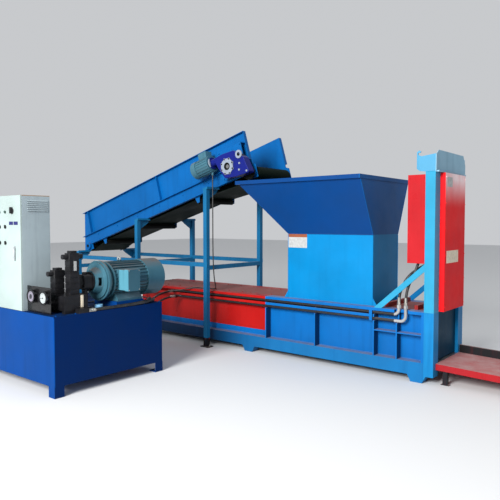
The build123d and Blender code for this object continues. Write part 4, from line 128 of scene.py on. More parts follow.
CABLE_ROUTE = metres(
    (-686, -550, 2412), (-686, -550, 2215), (-688, -548, 1990), (-690, -545, 1760), (-694, -541, 1535),
    (-699, -533, 1320), (-707, -517, 1130), (-722, -486, 965), (-748, -430, 862), (-800, -366, 801),
    (-885, -318, 787.5), (-990, -318, 787.5), (-1085, -362, 788), (-1155, -440, 798), (-1235, -500, 782),
    (-1340, -524, 757), (-1440, -560, 742), (-1495, -640, 738), (-1480, -770, 732), (-1400, -950, 718),
    (-1265, -1130, 712), (-1110, -1310, 722), (-955, -1480, 748), (-805, -1640, 788), (-692, -1775, 832),
    (-642, -1880, 846), (-670, -1970, 836), (-752, -2035, 827), (-838, -2135, 826), (-868, -2320, 826),
    (-866, -2490, 826), (-880, -2650, 827), (-908, -2765, 840), (-930, -2850, 868), (-930, -2922, 868),
)
HIGH_HOSE_ROUTE = metres(
    (-1545, -520, 722), (-1545, -630, 722), (-1505, -820, 706), (-1390, -1030, 684), (-1220, -1240, 680),
    (-1030, -1440, 696), (-840, -1620, 738), (-655, -1762, 800), (-495, -1868, 848), (-374, -1960, 852),
    (-320, -2082, 842), (-321, -2265, 834), (-321, -2460, 832.3), (-322, -2680, 832.3),
    (-322, -2880, 832.3),
)
LOW_HOSE_ROUTE = metres(
    (-1500, -520, 648), (-1500, -630, 648), (-1455, -820, 628), (-1335, -1020, 610), (-1165, -1220, 616),
    (-980, -1410, 644), (-790, -1590, 698), (-600, -1735, 780), (-438, -1852, 846), (-330, -1958, 852),
    (-283, -2084, 842), (-284, -2270, 834), (-285, -2460, 832.3), (-286, -2680, 832.3),
    (-286, -2880, 832.3),
)
LOWER_HOSE_ROUTE = metres(
    (2040, -420, 830), (2040, -420, 935), (2078, -408, 1060), (2138, -370, 1170), (2204, -280, 1240),
    (2256, -160, 1288), (2284, -55, 1352), (2290, 0, 1440), (2290, 0, 1526),
)
UPPER_HOSE_ROUTE = metres(
    (2120, -420, 830), (2120, -420, 950), (2158, -410, 1090), (2216, -386, 1220), (2252, -356, 1370),
    (2262, -332, 1550), (2264, -316, 1740), (2271, -250, 1850), (2283, -142, 1915), (2290, -45, 1985),
    (2290, 0, 2072), (2290, 0, 2164),
)
POWER_ROUTES = (HIGH_HOSE_ROUTE, LOW_HOSE_ROUTE)
TOWER_ROUTES = (LOWER_HOSE_ROUTE, UPPER_HOSE_ROUTE)
CABLE_WIDTH, HOSE_WIDTH = 0.016, 0.03
print("points on the cable and hoses", len(CABLE_ROUTE), [len(r) for r in POWER_ROUTES + TOWER_ROUTES])

# %% [markdown]
# A mesh tube would need a ring of points turned into every bend. A NURBS curve of order three rounds the
# points by itself, and its bevel gives it width. The order is set after the points are added, or the
# curve would stay a chain of straight runs. Each hose then takes the place of its solid tube.


# %% Smooth hoses
def smooth_hose(name, route, diameter):
    """One open NURBS spline of order three with the route's points as its control points, swept by a
    circle. Blender grows a curve's box by the radius of its points, so the half width is set there and
    the bevel is one metre: half width = bevel times radius."""
    curve = bpy.data.curves.new(name, "CURVE")
    curve.dimensions = "3D"
    curve.bevel_depth = 1.0
    curve.bevel_resolution = 6
    curve.use_fill_caps = True
    curve.resolution_u = curve.render_resolution_u = 12
    line = curve.splines.new("NURBS")
    line.points.add(len(route) - 1)
    line.points.foreach_set("co", np.c_[np.array(route), np.ones(len(route))].ravel())
    line.points.foreach_set("radius", np.full(len(route), diameter / 2))
    line.order_u = 3
    line.use_endpoint_u = True
    hose = bpy.data.objects.new(name, curve)
    scene.collection.objects.link(hose)
    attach(hose, "frame")
    return hose


gear_cable = smooth_hose("gear_cable_run", CABLE_ROUTE, CABLE_WIDTH)
high_hose = smooth_hose("high_hose", HIGH_HOSE_ROUTE, HOSE_WIDTH)
low_hose = smooth_hose("low_hose", LOW_HOSE_ROUTE, HOSE_WIDTH)
lower_hose = smooth_hose("lower_tower_hose", LOWER_HOSE_ROUTE, HOSE_WIDTH)
upper_hose = smooth_hose("upper_tower_hose", UPPER_HOSE_ROUTE, HOSE_WIDTH)
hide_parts("gear_cable")
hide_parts("power_hoses")
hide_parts("power_hoses")
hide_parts("tower_hoses")
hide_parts("tower_hoses")

# %% [markdown]
# ## Words for materials
# A material is a graph of nodes, and written out node by node each finish would fill a page. The steps
# that they all need get a name here: cloudy noise, a ramp, arithmetic, a mix of two colours and a fine
# relief. The coordinates are the piece's own, so the paint moves with it.


# %% Node helpers
def add(tree, kind):
    """A new node of this kind."""
    return tree.nodes.new("ShaderNode" + kind)


def blank_material(name):
    """A material with its principled shader and output, and nothing else."""
    material = bpy.data.materials.new(name)
    material.use_nodes = True
    tree = material.node_tree
    tree.nodes.clear()
    output = add(tree, "OutputMaterial")
    shader = add(tree, "BsdfPrincipled")
    tree.links.new(shader.outputs["BSDF"], output.inputs["Surface"])
    return material, tree, shader


def place_vector(tree, scale=(1, 1, 1)):
    """The piece's own coordinates in metres, stretched along each axis by scale."""
    mapping = add(tree, "Mapping")
    mapping.inputs["Scale"].default_value = scale
    tree.links.new(add(tree, "TexCoord").outputs["Object"], mapping.inputs["Vector"])
    return mapping.outputs["Vector"]


def noise(tree, scale, detail, rough=0.55, stretch=(1, 1, 1)):
    """Cloudy noise from 0 to 1 on the piece's own coordinates, with that many patches per metre."""
    node = add(tree, "TexNoise")
    fill(node, {"Scale": scale, "Detail": detail, "Roughness": rough})
    tree.links.new(place_vector(tree, stretch), node.inputs["Vector"])
    return node.outputs["Fac"]


def ramp(tree, value, low, high, bottom=0.0, top=1.0):
    """Straight line from bottom at low to top at high, held flat outside."""
    node = add(tree, "MapRange")
    node.clamp = True
    fill(node, {"From Min": low, "From Max": high, "To Min": bottom, "To Max": top})
    tree.links.new(value, node.inputs["Value"])
    return node.outputs["Result"]


def calc(tree, kind, *values):
    """One arithmetic step on one or two values, each a socket or a number."""
    node = add(tree, "Math")
    node.operation = kind
    for socket, value in zip(node.inputs, values):
        if isinstance(value, (int, float)):
            socket.default_value = value
        else:
            tree.links.new(value, socket)
    return node.outputs[0]


def mix_colour(tree, factor, a, b):
    """Blends two colours, each a socket or three numbers."""
    node = add(tree, "Mix")
    node.data_type = "RGBA"
    tree.links.new(factor, node.inputs[0])
    for socket, value in ((node.inputs[6], a), (node.inputs[7], b)):
        if isinstance(value, (tuple, list)):
            socket.default_value = (*value, 1.0)
        else:
            tree.links.new(value, socket)
    return node.outputs[2]


def part_xyz(tree, kind="Object"):
    """The piece's own x, y and z in metres, or for the kind Normal how far its surface faces along each."""
    split = add(tree, "SeparateXYZ")
    tree.links.new(add(tree, "TexCoord").outputs[kind], split.inputs[0])
    return split.outputs[0], split.outputs[1], split.outputs[2]


def beyond(tree, value, place, soft=0.0005):
    """0 up to the place and 1 beyond it, with a border as wide as soft."""
    return ramp(tree, value, place, place + soft)


def coat(tree, shader, colour, rough, shine=0.5):
    """Wires the colour and the roughness to the shader and sets how strongly it reflects."""
    shader.inputs["Specular IOR Level"].default_value = shine
    tree.links.new(colour, shader.inputs["Base Color"])
    tree.links.new(rough, shader.inputs["Roughness"])


def emboss(tree, shader, height, strength, depth):
    """Fine relief: the height pattern bends the light as if the surface rose and fell by depth metres."""
    bump = add(tree, "Bump")
    fill(bump, {"Strength": strength, "Distance": depth})
    tree.links.new(height, bump.inputs["Height"])
    tree.links.new(bump.outputs["Normal"], shader.inputs["Normal"])


def shade(colour, share):
    """The colour with its light taken down or up by share."""
    return tuple(min(1.0, c * share) for c in colour)


print("helpers ready")

# %% [markdown]
# ## Paint
# Shop enamel is never one flat colour. It is a little uneven, gets darker streaks where water runs down,
# chips to primer in small spots, and dust settles on whatever faces up. Each of these is one noise
# pattern mixed over the colour, and dust is rougher than paint. One recipe serves all painted parts.

# %% Enamel
DUST = (0.4, 0.335, 0.3)
PRIMER = (0.16, 0.13, 0.115)
# Dark navy for the painted shade in cloudy patches on zoned parts.
PATCH_SHADE = (0.01, 0.02, 0.04)


def enamel(
    name, colour, dust=0.35, dust_colour=DUST, gloss=0.32, streaks=0.35, chips=0.25, zones=None, shine=0.12
):
    """Sprayed enamel: colour with soft patches, run-down streaks, chips to primer and dust on upward
    faces. zones(tree, colour) may return a colour that differs from place to place, gloss is the least
    roughness and shine the strength of reflections."""
    material, tree, shader = blank_material(name)
    plain = zones(tree, colour) if zones else colour
    patches = ramp(tree, noise(tree, 1.7, 4), 0.35, 0.7)
    # On zoned parts the cloudy patches are painted shade, up to a fifth of the way to dark navy.
    if zones:
        body = mix_colour(tree, calc(tree, "MULTIPLY", patches, 0.22), plain, PATCH_SHADE)
    else:
        body = mix_colour(tree, patches, colour, shade(colour, 0.8))
    runs = ramp(tree, noise(tree, 1.6, 5, stretch=(9, 9, 0.7)), 0.52, 0.78, 0, streaks)
    body = mix_colour(tree, runs, body, shade(colour, 0.45))
    spots = ramp(tree, noise(tree, 38, 6, 0.7), 0.7, 0.73, 0, chips)
    body = mix_colour(tree, spots, body, PRIMER)
    grit = ramp(tree, noise(tree, 7, 8, 0.72), 0.3, 0.68, 0.35, 1.0)
    faces_up = part_xyz(tree, "Normal")[2]
    settled = calc(tree, "MULTIPLY", ramp(tree, faces_up, 0.55, 0.97, 0, dust), grit)
    body = mix_colour(tree, settled, body, dust_colour)
    bare = ramp(tree, noise(tree, 5, 6), 0.3, 0.75, gloss, gloss + 0.16)
    coat(tree, shader, body, calc(tree, "ADD", bare, calc(tree, "MULTIPLY", settled, 0.42)), shine)
    emboss(tree, shader, noise(tree, 55, 4), 0.25, 0.0012)
    return material


def paint(finish, *names):
    """Gives the named nodes of the frame this finish in all their slots."""
    for name in names:
        mesh = nodes[name].data
        mesh.materials.clear()
        mesh.materials.append(finish)


def split_at(axis, place, far_colour, soft=0.0005):
    """Zones for enamel: the far colour beyond a plane across the axis, which is 0 for x to 2 for z."""

    def zones(tree, colour):
        return mix_colour(tree, beyond(tree, part_xyz(tree)[axis], place, soft), colour, far_colour)

    return zones


print("enamel ready")

# %% [markdown]
# ## The blues
# The feed box, the conveyor, the tower and the tank each have a blue of their own. Where one welded piece
# has two colours, they are split at a plane: the tank's end wall is darker than its front, as painted
# shade.

# %% Plain blues and the tank
azure = enamel("azure_enamel", (0.0012, 0.185, 0.44), dust=0.2, streaks=0.12)
conveyor_blue = enamel("conveyor_blue_enamel", (0.001, 0.094, 0.315), dust=0.3)
TANK_END_X = -0.27
TANK_GRIME = (0.003, 0.0045, 0.006)
# Painted shade: the end wall past TANK_END_X is a darker blue.
tank_end_shade = split_at(0, TANK_END_X, (0.0006, 0.016, 0.09))
tank_blue = enamel(
    "tank_blue_enamel", (0.0004, 0.042, 0.205),
    dust=0.96, dust_colour=TANK_GRIME, zones=tank_end_shade, shine=0.04,
)
sky_blue = enamel("sky_blue_enamel", (0.026, 0.27, 0.45), dust=0.25, streaks=0.2)
far_blue = enamel("far_column_enamel", (0.003, 0.13, 0.33), dust=0.25, streaks=0.2)
gate_teal = enamel("gate_enamel", (0.002, 0.04, 0.085), dust=0.2, gloss=0.45)
print("tank and plain blues", len(bpy.data.materials))

# %% [markdown]
# The long sides of the press are one welded piece, yet its beam, its ribs and its end post differ: painted
# shade darkens the back of the beam and the rib flanks that face the gate, and the end post is brightest.
# The hopper's end wall is paler than its sides, a painted highlight. Both get zones by x and z.

# %% Press and hopper
PRESS_BLUE = (0.0015, 0.118, 0.39)
BEAM_TOP = 0.2218
END_POST_X = 2.3395


def press_zones(tree, colour):
    """The bottom beam has painted shade that is deep at the back and gone in front, the end post by the
    gate is the brightest, and the flanks of the ribs that face the gate are darkened as painted shade."""
    x, _, z = part_xyz(tree)
    # Painted shade on the bottom beam: dark navy at the back, bright blue in front.
    beam_shade = mix_colour(tree, ramp(tree, x, -0.9, 0.3), (0.002, 0.02, 0.065), (0.006, 0.132, 0.345))
    # Painted shade on the rib flanks that face the gate.
    faces_gate = part_xyz(tree, "Normal")[0]
    rib_flank_shade = mix_colour(tree, ramp(tree, faces_gate, 0.6, 0.9), colour, (0.001, 0.03, 0.11))
    beam = mix_colour(tree, beyond(tree, z, BEAM_TOP, 0.0004), beam_shade, rib_flank_shade)
    return mix_colour(tree, beyond(tree, x, END_POST_X, 0.001), beam, (0.006, 0.18, 0.43))


bright_blue = enamel("bright_blue_enamel", PRESS_BLUE, dust=0.45)
press_blue = enamel("press_side_enamel", PRESS_BLUE, dust=0.45, zones=press_zones)
HOPPER_FOOT_Z = 1.61
HOPPER_END_X = 1.6665
HOPPER_END_LEAN = 0.0172


def hopper_zones(tree, colour):
    """The end wall is a greener, paler blue than the long sides, a painted highlight on a face that tilts
    up. It leans inwards a little, so its place is found from x plus the lean times the height above the
    hopper's foot."""
    x, _, z = part_xyz(tree)
    lean = calc(tree, "MULTIPLY", calc(tree, "SUBTRACT", z, HOPPER_FOOT_Z), HOPPER_END_LEAN)
    # Painted highlight: the end wall is mixed to a paler blue.
    end_wall_highlight = beyond(tree, calc(tree, "ADD", x, lean), HOPPER_END_X)
    return mix_colour(tree, end_wall_highlight, colour, (0.001, 0.078, 0.27))


# The long sides' navy is partly painted shade, as they lean out and face down.
hopper_blue = enamel(
    "hopper_blue_enamel", (0.001, 0.04, 0.172), dust=0.2, streaks=0.12, zones=hopper_zones
)
print("press and hopper", hopper_blue.name)

# %% [markdown]
# The hood over the gate cylinder is greyer than the cheeks beside it, a painted reflection of the sky on
# its inclined face. The stand's posts were dipped in black at the foot, where boots and trolleys rub them
# down to red. Then every blue part gets its finish.

# %% Tower head and stand
HOOD_X = 2.449
# Painted reflection: past HOOD_X the hood is a greyer, paler blue.
hood_reflection = split_at(0, HOOD_X, (0.24, 0.43, 0.56))
head_blue = enamel("tower_head_enamel", (0.07, 0.27, 0.44), zones=hood_reflection)
SHOE_BLACK_TOP = 0.128


def post_zones(tree, colour):
    """Black from the shoes to a hand's width above them with rubbed red spots, blue above."""
    _, _, z = part_xyz(tree)
    rubbed = ramp(tree, noise(tree, 21, 4), 0.6, 0.64)
    foot = mix_colour(tree, rubbed, (0.006, 0.005, 0.005), (0.13, 0.01, 0.008))
    return mix_colour(tree, beyond(tree, z, SHOE_BLACK_TOP, 0.004), foot, colour)


stand_blue = enamel("stand_enamel", (0.006, 0.115, 0.26), dust=0.3, zones=post_zones)
paint(press_blue, "near_side_frame", "far_side_frame")
paint(azure, "feed_box")
paint(hopper_blue, "hopper")
paint(conveyor_blue, "conveyor_near_side", "conveyor_far_side")
paint(sky_blue, "near_column")
paint(far_blue, "far_column")
paint(head_blue, "tower_head")
paint(gate_teal, "gate")
paint(stand_blue, "near_stand", "far_stand", "stand_crossbars")
paint(tank_blue, "oil_tank", "motor_base")
print("blues", len(bpy.data.materials))

# %% [markdown]
# ## The reds
# Covers and decks are red. A painted highlight makes the front guard pale pink near its top, and feet leave
# brown dust on the decks. The discharge table has a black kerb and black legs.

# %% Reds
red = enamel("red_enamel", (0.38, 0.009, 0.008), dust=0.5, gloss=0.26, dust_colour=(0.2, 0.06, 0.052))
guard_red = enamel("guard_red_enamel", (0.42, 0.013, 0.018), dust=0.4, gloss=0.24, streaks=0.1)
GUARD_FACE_X = 2.5068


def guard_zones(tree, colour):
    """A painted highlight in clouds turns the top of the front face a pale pink, plain red elsewhere. The
    height ramp is raised to a power, which keeps its lower part faint."""
    x, _, z = part_xyz(tree)
    clouds = ramp(tree, noise(tree, 4.5, 3, stretch=(1, 1, 0.6)), 0.36, 0.6, 0.72, 1.0)
    height = calc(tree, "POWER", ramp(tree, z, 1.9, 2.23), 1.8)
    face = beyond(tree, x, GUARD_FACE_X, 0.0006)
    # Painted highlight: pale pink near the top of the front face.
    painted_highlight = calc(tree, "MULTIPLY", calc(tree, "MULTIPLY", height, clouds), face)
    return mix_colour(tree, painted_highlight, colour, (0.95, 0.76, 0.78))


front_red = enamel(
    "front_guard_enamel", (0.72, 0.01, 0.012),
    dust=0.4, gloss=0.3, streaks=0.1, zones=guard_zones, shine=0.04,
)
TABLE_X, TABLE_SLOPE = 2.45, radians(2)
TRAY_TOP, TRAY_DEPTH = 0.222, 0.0685
KERB_Y = 0.3495
TABLE_DUST = (0.39, 0.268, 0.262)
DECK_DUST = (0.225, 0.115, 0.105)


def table_zones(tree, colour):
    """Black on the kerb along the far edge and on the legs below the tray, red elsewhere. The tray falls
    away from the gate: under = tray top - slope times distance - tray depth - z."""
    x, y, z = part_xyz(tree)
    tray = calc(tree, "MULTIPLY", calc(tree, "SUBTRACT", x, TABLE_X), -tan(TABLE_SLOPE))
    under = calc(tree, "SUBTRACT", calc(tree, "ADD", tray, TRAY_TOP - TRAY_DEPTH), z)
    dark = calc(tree, "MAXIMUM", beyond(tree, y, KERB_Y, 0.0003), beyond(tree, under, 0.0))
    return mix_colour(tree, dark, colour, (0.012, 0.012, 0.013))


table_red = enamel(
    "table_red_enamel", (0.33, 0.012, 0.016), dust=0.9, dust_colour=TABLE_DUST, zones=table_zones
)
deck_red = enamel("deck_red_enamel", (0.26, 0.022, 0.02), dust=0.88, dust_colour=DECK_DUST, chips=0.5)
paint(red, "rear_panels")
paint(guard_red, "side_guards")
paint(front_red, "front_guard")
paint(deck_red, "rear_deck", "front_deck")
paint(table_red, "bale_table")
print("with the reds", len(bpy.data.materials))

# %% [markdown]
# ## Black steel
# The cylinders and the two long pipes are painted black. The pipes turn up by the tower in plated elbows,
# which are part of the same piece, so the colour is split where the black stops.

# %% Black steel
black_steel = enamel("black_enamel", (0.009, 0.009, 0.01), dust=0.35, gloss=0.4)
PLATED_X = 1.985
plated = split_at(0, PLATED_X, (0.3, 0.305, 0.31), soft=0.005)
pipe_black = enamel("pipe_enamel", (0.009, 0.009, 0.01), dust=0.35, gloss=0.34, zones=plated, shine=0.5)
paint(black_steel, "ram_cylinder", "gate_cylinder")
paint(pipe_black, "side_pipes")
print("with the black steel", len(bpy.data.materials))

# %% [markdown]
# ## Motors and gearbox
# The motors have a thick grey-green enamel that gathers brown dust on top. The gearbox is royal blue with
# a white cover ring, white caps and painted shade in its bores. Its face is flat, so the ring and the caps
# are what stands in front of one plane, and the bores are circles round two axes.


# %% Motors and gearbox
MOTOR_DUST = (0.12, 0.075, 0.05)
motor_green = enamel(
    "motor_enamel", (0.04, 0.125, 0.17), dust=0.9, dust_colour=MOTOR_DUST, gloss=0.28, shine=0.4
)
GEARBOX_FACE_Y = -0.6104
BORES = ((-0.3573, 2.5121, 0.052), (-0.1539, 2.6618, 0.026))


def gearbox_zones(tree, colour):
    """White where the cover ring and the small caps stand out of the casting's face, and painted shade in
    the two bores: there the distance from the bore's axis is less than its radius."""
    x, y, z = part_xyz(tree)
    body = mix_colour(tree, beyond(tree, y, GEARBOX_FACE_Y, 0.0003), (0.23, 0.265, 0.32), colour)
    for bore_x, bore_z, radius in BORES:
        offsets = [calc(tree, "SUBTRACT", value, middle) for value, middle in ((x, bore_x), (z, bore_z))]
        across, up = [calc(tree, "POWER", offset, 2.0) for offset in offsets]
        reach = calc(tree, "SQRT", calc(tree, "ADD", across, up))
        # Painted shade: near black inside the two bores.
        body = mix_colour(tree, beyond(tree, reach, radius - 0.0005), (0.01, 0.01, 0.006), body)
    return body


gearbox_blue = enamel(
    "gearbox_enamel", (0.006, 0.011, 0.15), dust=0.3, gloss=0.24, streaks=0.2, zones=gearbox_zones
)
FINS_X, FINS_TOP = -0.336, 1.326
TERMINAL_BOX_FRONT, TERMINAL_BOX_FLANK = -2.456, -2.4417


def motor_zones(tree, colour):
    """Bare metal on the lifting eye, which is all that stands above the fins, and a paler painted highlight
    on
    the lit flank of the terminal box: mask = outside the fins times behind the box's front times not past
    its flank."""
    x, y, z = part_xyz(tree)
    outside = calc(
        tree, "MULTIPLY", beyond(tree, x, FINS_X, 0.002), beyond(tree, y, TERMINAL_BOX_FRONT, 0.002)
    )
    not_past = ramp(tree, y, TERMINAL_BOX_FLANK, TERMINAL_BOX_FLANK + 0.0004, 1, 0)
    # Painted highlight: the terminal box's lit flank is a paler blue-green.
    body = mix_colour(tree, calc(tree, "MULTIPLY", outside, not_past), colour, (0.08, 0.26, 0.34))
    return mix_colour(tree, beyond(tree, z, FINS_TOP, 0.002), body, (0.3, 0.32, 0.33))


pump_motor_green = enamel(
    "pump_motor_enamel", (0.034, 0.106, 0.144),
    dust=0.9, dust_colour=MOTOR_DUST, gloss=0.28, zones=motor_zones, shine=0.4,
)
paint(pump_motor_green, "pump_motor")
paint(motor_green, "gear_motor", "bell_housing")
paint(gearbox_blue, "gearbox")
print("with the motors and gearbox", len(bpy.data.materials))

# %% [markdown]
# ## Castings
# Valves and the pump are cast iron painted black. Sand leaves a coarse skin, oil makes it shine in
# patches and dust sticks in the hollows. So one noise rules the colour, one the grime and one the gloss.


# %% Castings
CASTING_GRIME = (0.03, 0.027, 0.023)


def casting(name, colour):
    """Black painted casting: a coarse skin, oily patches that shine, and grey dust in the hollows."""
    material, tree, shader = blank_material(name)
    clouds = ramp(tree, noise(tree, 9, 6), 0.35, 0.7)
    body = mix_colour(tree, clouds, colour, shade(colour, 2.6))
    grime = ramp(tree, noise(tree, 26, 8, 0.7), 0.56, 0.74, 0, 0.6)
    body = mix_colour(tree, grime, body, CASTING_GRIME)
    oil = ramp(tree, noise(tree, 6, 3), 0.45, 0.62, 0.42, 0.3)
    coat(tree, shader, body, oil, shine=0.3)
    emboss(tree, shader, noise(tree, 190, 3), 0.5, 0.002)
    return material


black_casting = casting("black_casting", (0.0045, 0.0045, 0.0055))
paint(black_casting, "valve_manifold", "hydraulic_pump")
print("castings", black_casting.name)

# %% [markdown]
# ## Bare metal
# Steel keeps the lines of its last machining: along the plate when rolled, round the axis when turned.
# Noise stretched along one axis gives those lines. Rust comes in patches, which are not metallic. Drums,
# rollers, the slider bed and the chain are painted dull near-black, as painted shade for the shade in and
# under the conveyor.


# %% Bare metal
RUST = (0.17, 0.075, 0.035)


def worn_steel(name, colour, rough=0.36, rust=0.3, lines=(1, 1, 60)):
    """Bare steel: fine lines along one direction, stains, and rust in patches."""
    material, tree, shader = blank_material(name)
    clouds = ramp(tree, noise(tree, 4, 5), 0.3, 0.7)
    body = mix_colour(tree, clouds, colour, shade(colour, 0.62))
    stain = ramp(tree, noise(tree, 11, 8, 0.72), 0.54, 0.7, 0, rust)
    body = mix_colour(tree, stain, body, RUST)
    tree.links.new(ramp(tree, stain, 0, 0.6, 0.92, 0.25), shader.inputs["Metallic"])
    scratches = noise(tree, 12, 4, stretch=lines)
    coat(tree, shader, body, ramp(tree, scratches, 0.3, 0.7, rough - 0.08, rough + 0.16))
    emboss(tree, shader, scratches, 0.18, 0.0006)
    return material


rolled_steel = worn_steel("rolled_steel", (0.3, 0.3, 0.31))
ram_steel = worn_steel("ram_steel", (0.36, 0.36, 0.36), rust=0.18, lines=(0.6, 30, 30))
shaft_steel = worn_steel("turned_steel", (0.38, 0.38, 0.39), rough=0.28, rust=0.1, lines=(60, 1, 60))
# Painted shade: near-black steel for the drums, rollers, bed and chain in the conveyor's shade.
shade_black_steel = enamel("shade_black_steel", (0.003, 0.004, 0.003), dust=0.1, gloss=0.6, chips=0.1)
chrome_rod = worn_steel("chromed_rod", (0.8, 0.8, 0.82), rough=0.14, rust=0.0, lines=(40, 40, 40))
zinc = worn_steel("zinc_plate", (0.5, 0.49, 0.45), rough=0.34, rust=0.12, lines=(30, 30, 30))
paint(rolled_steel, "chamber_floor", "device_plate")
paint(ram_steel, "ram")
paint(chrome_rod, "ram_rod", "gate_rod")
paint(shaft_steel, "drive_sprocket", "motor_shaft")
paint(shade_black_steel, "head_drum", "tail_drum", "slider_bed", "drive_chain")
paint(shade_black_steel, *(f"return_roller_{number}" for number in (1, 2, 3)))
print("with the bare metals", len(bpy.data.materials))

# %% [markdown]
# ## Rubber
# The belt is dark green rubber with the print of its fabric, made by square Voronoi cells, and with long
# pale scuffs. Hoses are cured in cloth, which leaves a faint spiral, made here by slanting waves.


# %% Rubber
def belt_rubber(name, colour):
    """Belt cover: a fine print of small squares, a dusty sheen and pale scuffs."""
    material, tree, shader = blank_material(name)
    clouds = ramp(tree, noise(tree, 3, 6), 0.3, 0.75)
    body = mix_colour(tree, clouds, colour, shade(colour, 1.9))
    scuff = ramp(tree, noise(tree, 2, 6, stretch=(14, 1.5, 14)), 0.58, 0.72, 0, 0.4)
    body = mix_colour(tree, scuff, body, (0.012, 0.018, 0.014))
    coat(tree, shader, body, ramp(tree, clouds, 0, 1, 0.5, 0.7), shine=0.05)
    weave = add(tree, "TexVoronoi")
    weave.distance = "CHEBYCHEV"
    weave.inputs["Scale"].default_value = 260
    tree.links.new(place_vector(tree), weave.inputs["Vector"])
    emboss(tree, shader, weave.outputs["Distance"], 0.35, 0.0012)
    return material


def hose_rubber(name, colour, twist=150):
    """Wrapped hose: fine ridges from the cloth it was cured in, and grey dust."""
    material, tree, shader = blank_material(name)
    dust = ramp(tree, noise(tree, 12, 6), 0.42, 0.75, 0, 0.5)
    body = mix_colour(tree, dust, colour, (0.085, 0.078, 0.07))
    coat(tree, shader, body, ramp(tree, dust, 0, 0.5, 0.38, 0.66))
    wrap = add(tree, "TexWave")
    fill(wrap, {"Scale": twist, "Distortion": 1.2})
    wrap.bands_direction = "DIAGONAL"
    tree.links.new(place_vector(tree), wrap.inputs["Vector"])
    emboss(tree, shader, wrap.outputs["Fac"], 0.3, 0.0008)
    return material


paint(belt_rubber("green_belt", (0.0012, 0.005, 0.003)), "conveyor_belt")
hose_black = hose_rubber("black_hose", (0.01, 0.01, 0.011))
sheath_black = hose_rubber("cable_sheath", (0.012, 0.012, 0.013), 320)
for hose in (high_hose, low_hose, lower_hose, upper_hose):
    hose.data.materials.append(hose_black)
gear_cable.data.materials.append(sheath_black)
print("rubber", hose_black.name, sheath_black.name)

# %% [markdown]
# ## Cabinet and controls
# The cabinet is white powder coat with little dust, and its body is greyer than the door: painted shade of
# its sides. Brown dirt lies on its top and shows as a thin line along the upper edge. Knobs, buttons,
# labels and dials are moulded or printed in one colour with a fine grain.


# %% Powder coat and plastic
CABINET_EDGE_Z = 2.034
cabinet_top = split_at(2, CABINET_EDGE_Z, (0.3, 0.2, 0.12), soft=0.003)
door_white = enamel(
    "cabinet_door_coat", (0.33, 0.405, 0.395), dust=0.2, gloss=0.38, streaks=0.03, chips=0.05
)
# Painted shade: the body coat is a little darker than the door's white.
body_shaded_coat = enamel(
    "cabinet_body_coat", (0.31, 0.375, 0.405), dust=0.3, gloss=0.42, chips=0.05, zones=cabinet_top
)


def plastic(name, colour, rough=0.42):
    """Moulded plastic: even colour with a slight cloud and a fine grain."""
    material, tree, shader = blank_material(name)
    clouds = ramp(tree, noise(tree, 30, 3), 0.35, 0.7)
    body = mix_colour(tree, clouds, colour, shade(colour, 0.75))
    coat(tree, shader, body, ramp(tree, clouds, 0, 1, rough - 0.06, rough + 0.1))
    emboss(tree, shader, noise(tree, 900, 2), 0.12, 0.0003)
    return material


knob_black = plastic("knob_plastic", (0.012, 0.012, 0.014))
button_green = plastic("button_plastic", (0.02, 0.06, 0.045))
handle_grey = plastic("handle_coating", (0.4, 0.43, 0.45), 0.34)
cap_blue = plastic("filler_cap_plastic", (0.19, 0.42, 0.66), 0.36)
label_white = plastic("label_white", (0.4, 0.41, 0.41), 0.5)
label_cream = plastic("label_cream", (0.7, 0.62, 0.48), 0.5)
label_orange = plastic("label_orange", (0.26, 0.062, 0.018), 0.5)
plate_navy = plastic("plate_navy", (0.01, 0.012, 0.11), 0.5)
gauge_white = plastic("dial_white", (0.37, 0.41, 0.42), 0.4)
gauge_violet = plastic("dial_violet", (0.2, 0.185, 0.24), 0.4)
gauge_dark = plastic("dial_dark", (0.02, 0.022, 0.03), 0.34)
paint(door_white, "cabinet_door")
paint(body_shaded_coat, "cabinet_body")
paint(handle_grey, "door_handle")
paint(cap_blue, "filler_cap")
paint(knob_black, "main_switch")
paint(button_green, "push_button_1", "push_button_2")
paint(knob_black, *(f"selector_{number}" for number in (1, 2, 3, 4)))
print("with the plastics", len(bpy.data.materials))

# %% [markdown]
# The gauge panel is one solid: a black sheet and two dark plated cases that stand in front of it. The
# border between them is a plane at the sheet's front, and only the cases are metallic.

# %% Gauge panel
GAUGE_SHEET_Y = -3.2314


def gauge_finish():
    """Black sheet with dark plated cases in front of it."""
    material, tree, shader = blank_material("gauge_panel_finish")
    _, y, _ = part_xyz(tree)
    case = ramp(tree, y, GAUGE_SHEET_Y - 0.0002, GAUGE_SHEET_Y, 1, 0)
    tree.links.new(case, shader.inputs["Metallic"])
    body = mix_colour(tree, case, (0.006, 0.006, 0.007), (0.06, 0.062, 0.068))
    coat(tree, shader, body, ramp(tree, noise(tree, 24, 5), 0.35, 0.7, 0.14, 0.34))
    emboss(tree, shader, noise(tree, 120, 3), 0.1, 0.0005)
    return material


paint(gauge_finish(), "gauge_panel")
print("materials", len(bpy.data.materials))

# %% [markdown]
# ## Small shapes from formulas
# Bolts, nuts, weld beads, labels and dials are too fine for the solid model, so they are worked out here.
# Each is a set of points computed in one go: a profile turned about an axis, a circle carried along a
# line, or a block. Several of a kind are joined into one piece.


# %% Shape helpers
def square_to(axis):
    """Two unit directions that make a right-handed set with the unit axis."""
    axis = np.array(axis, float) / np.linalg.norm(axis)
    aid = (0, 0, 1) if abs(axis[2]) < 0.9 else (1, 0, 0)
    first = np.cross(aid, axis)
    first /= np.linalg.norm(first)
    return first, np.cross(axis, first), axis


def circle_in(first, second, sides):
    """Points round the unit circle in the plane of two directions: cos t first + sin t second."""
    t = np.arange(sides) * 2 * pi / sides
    return np.cos(t)[:, None] * first + np.sin(t)[:, None] * second


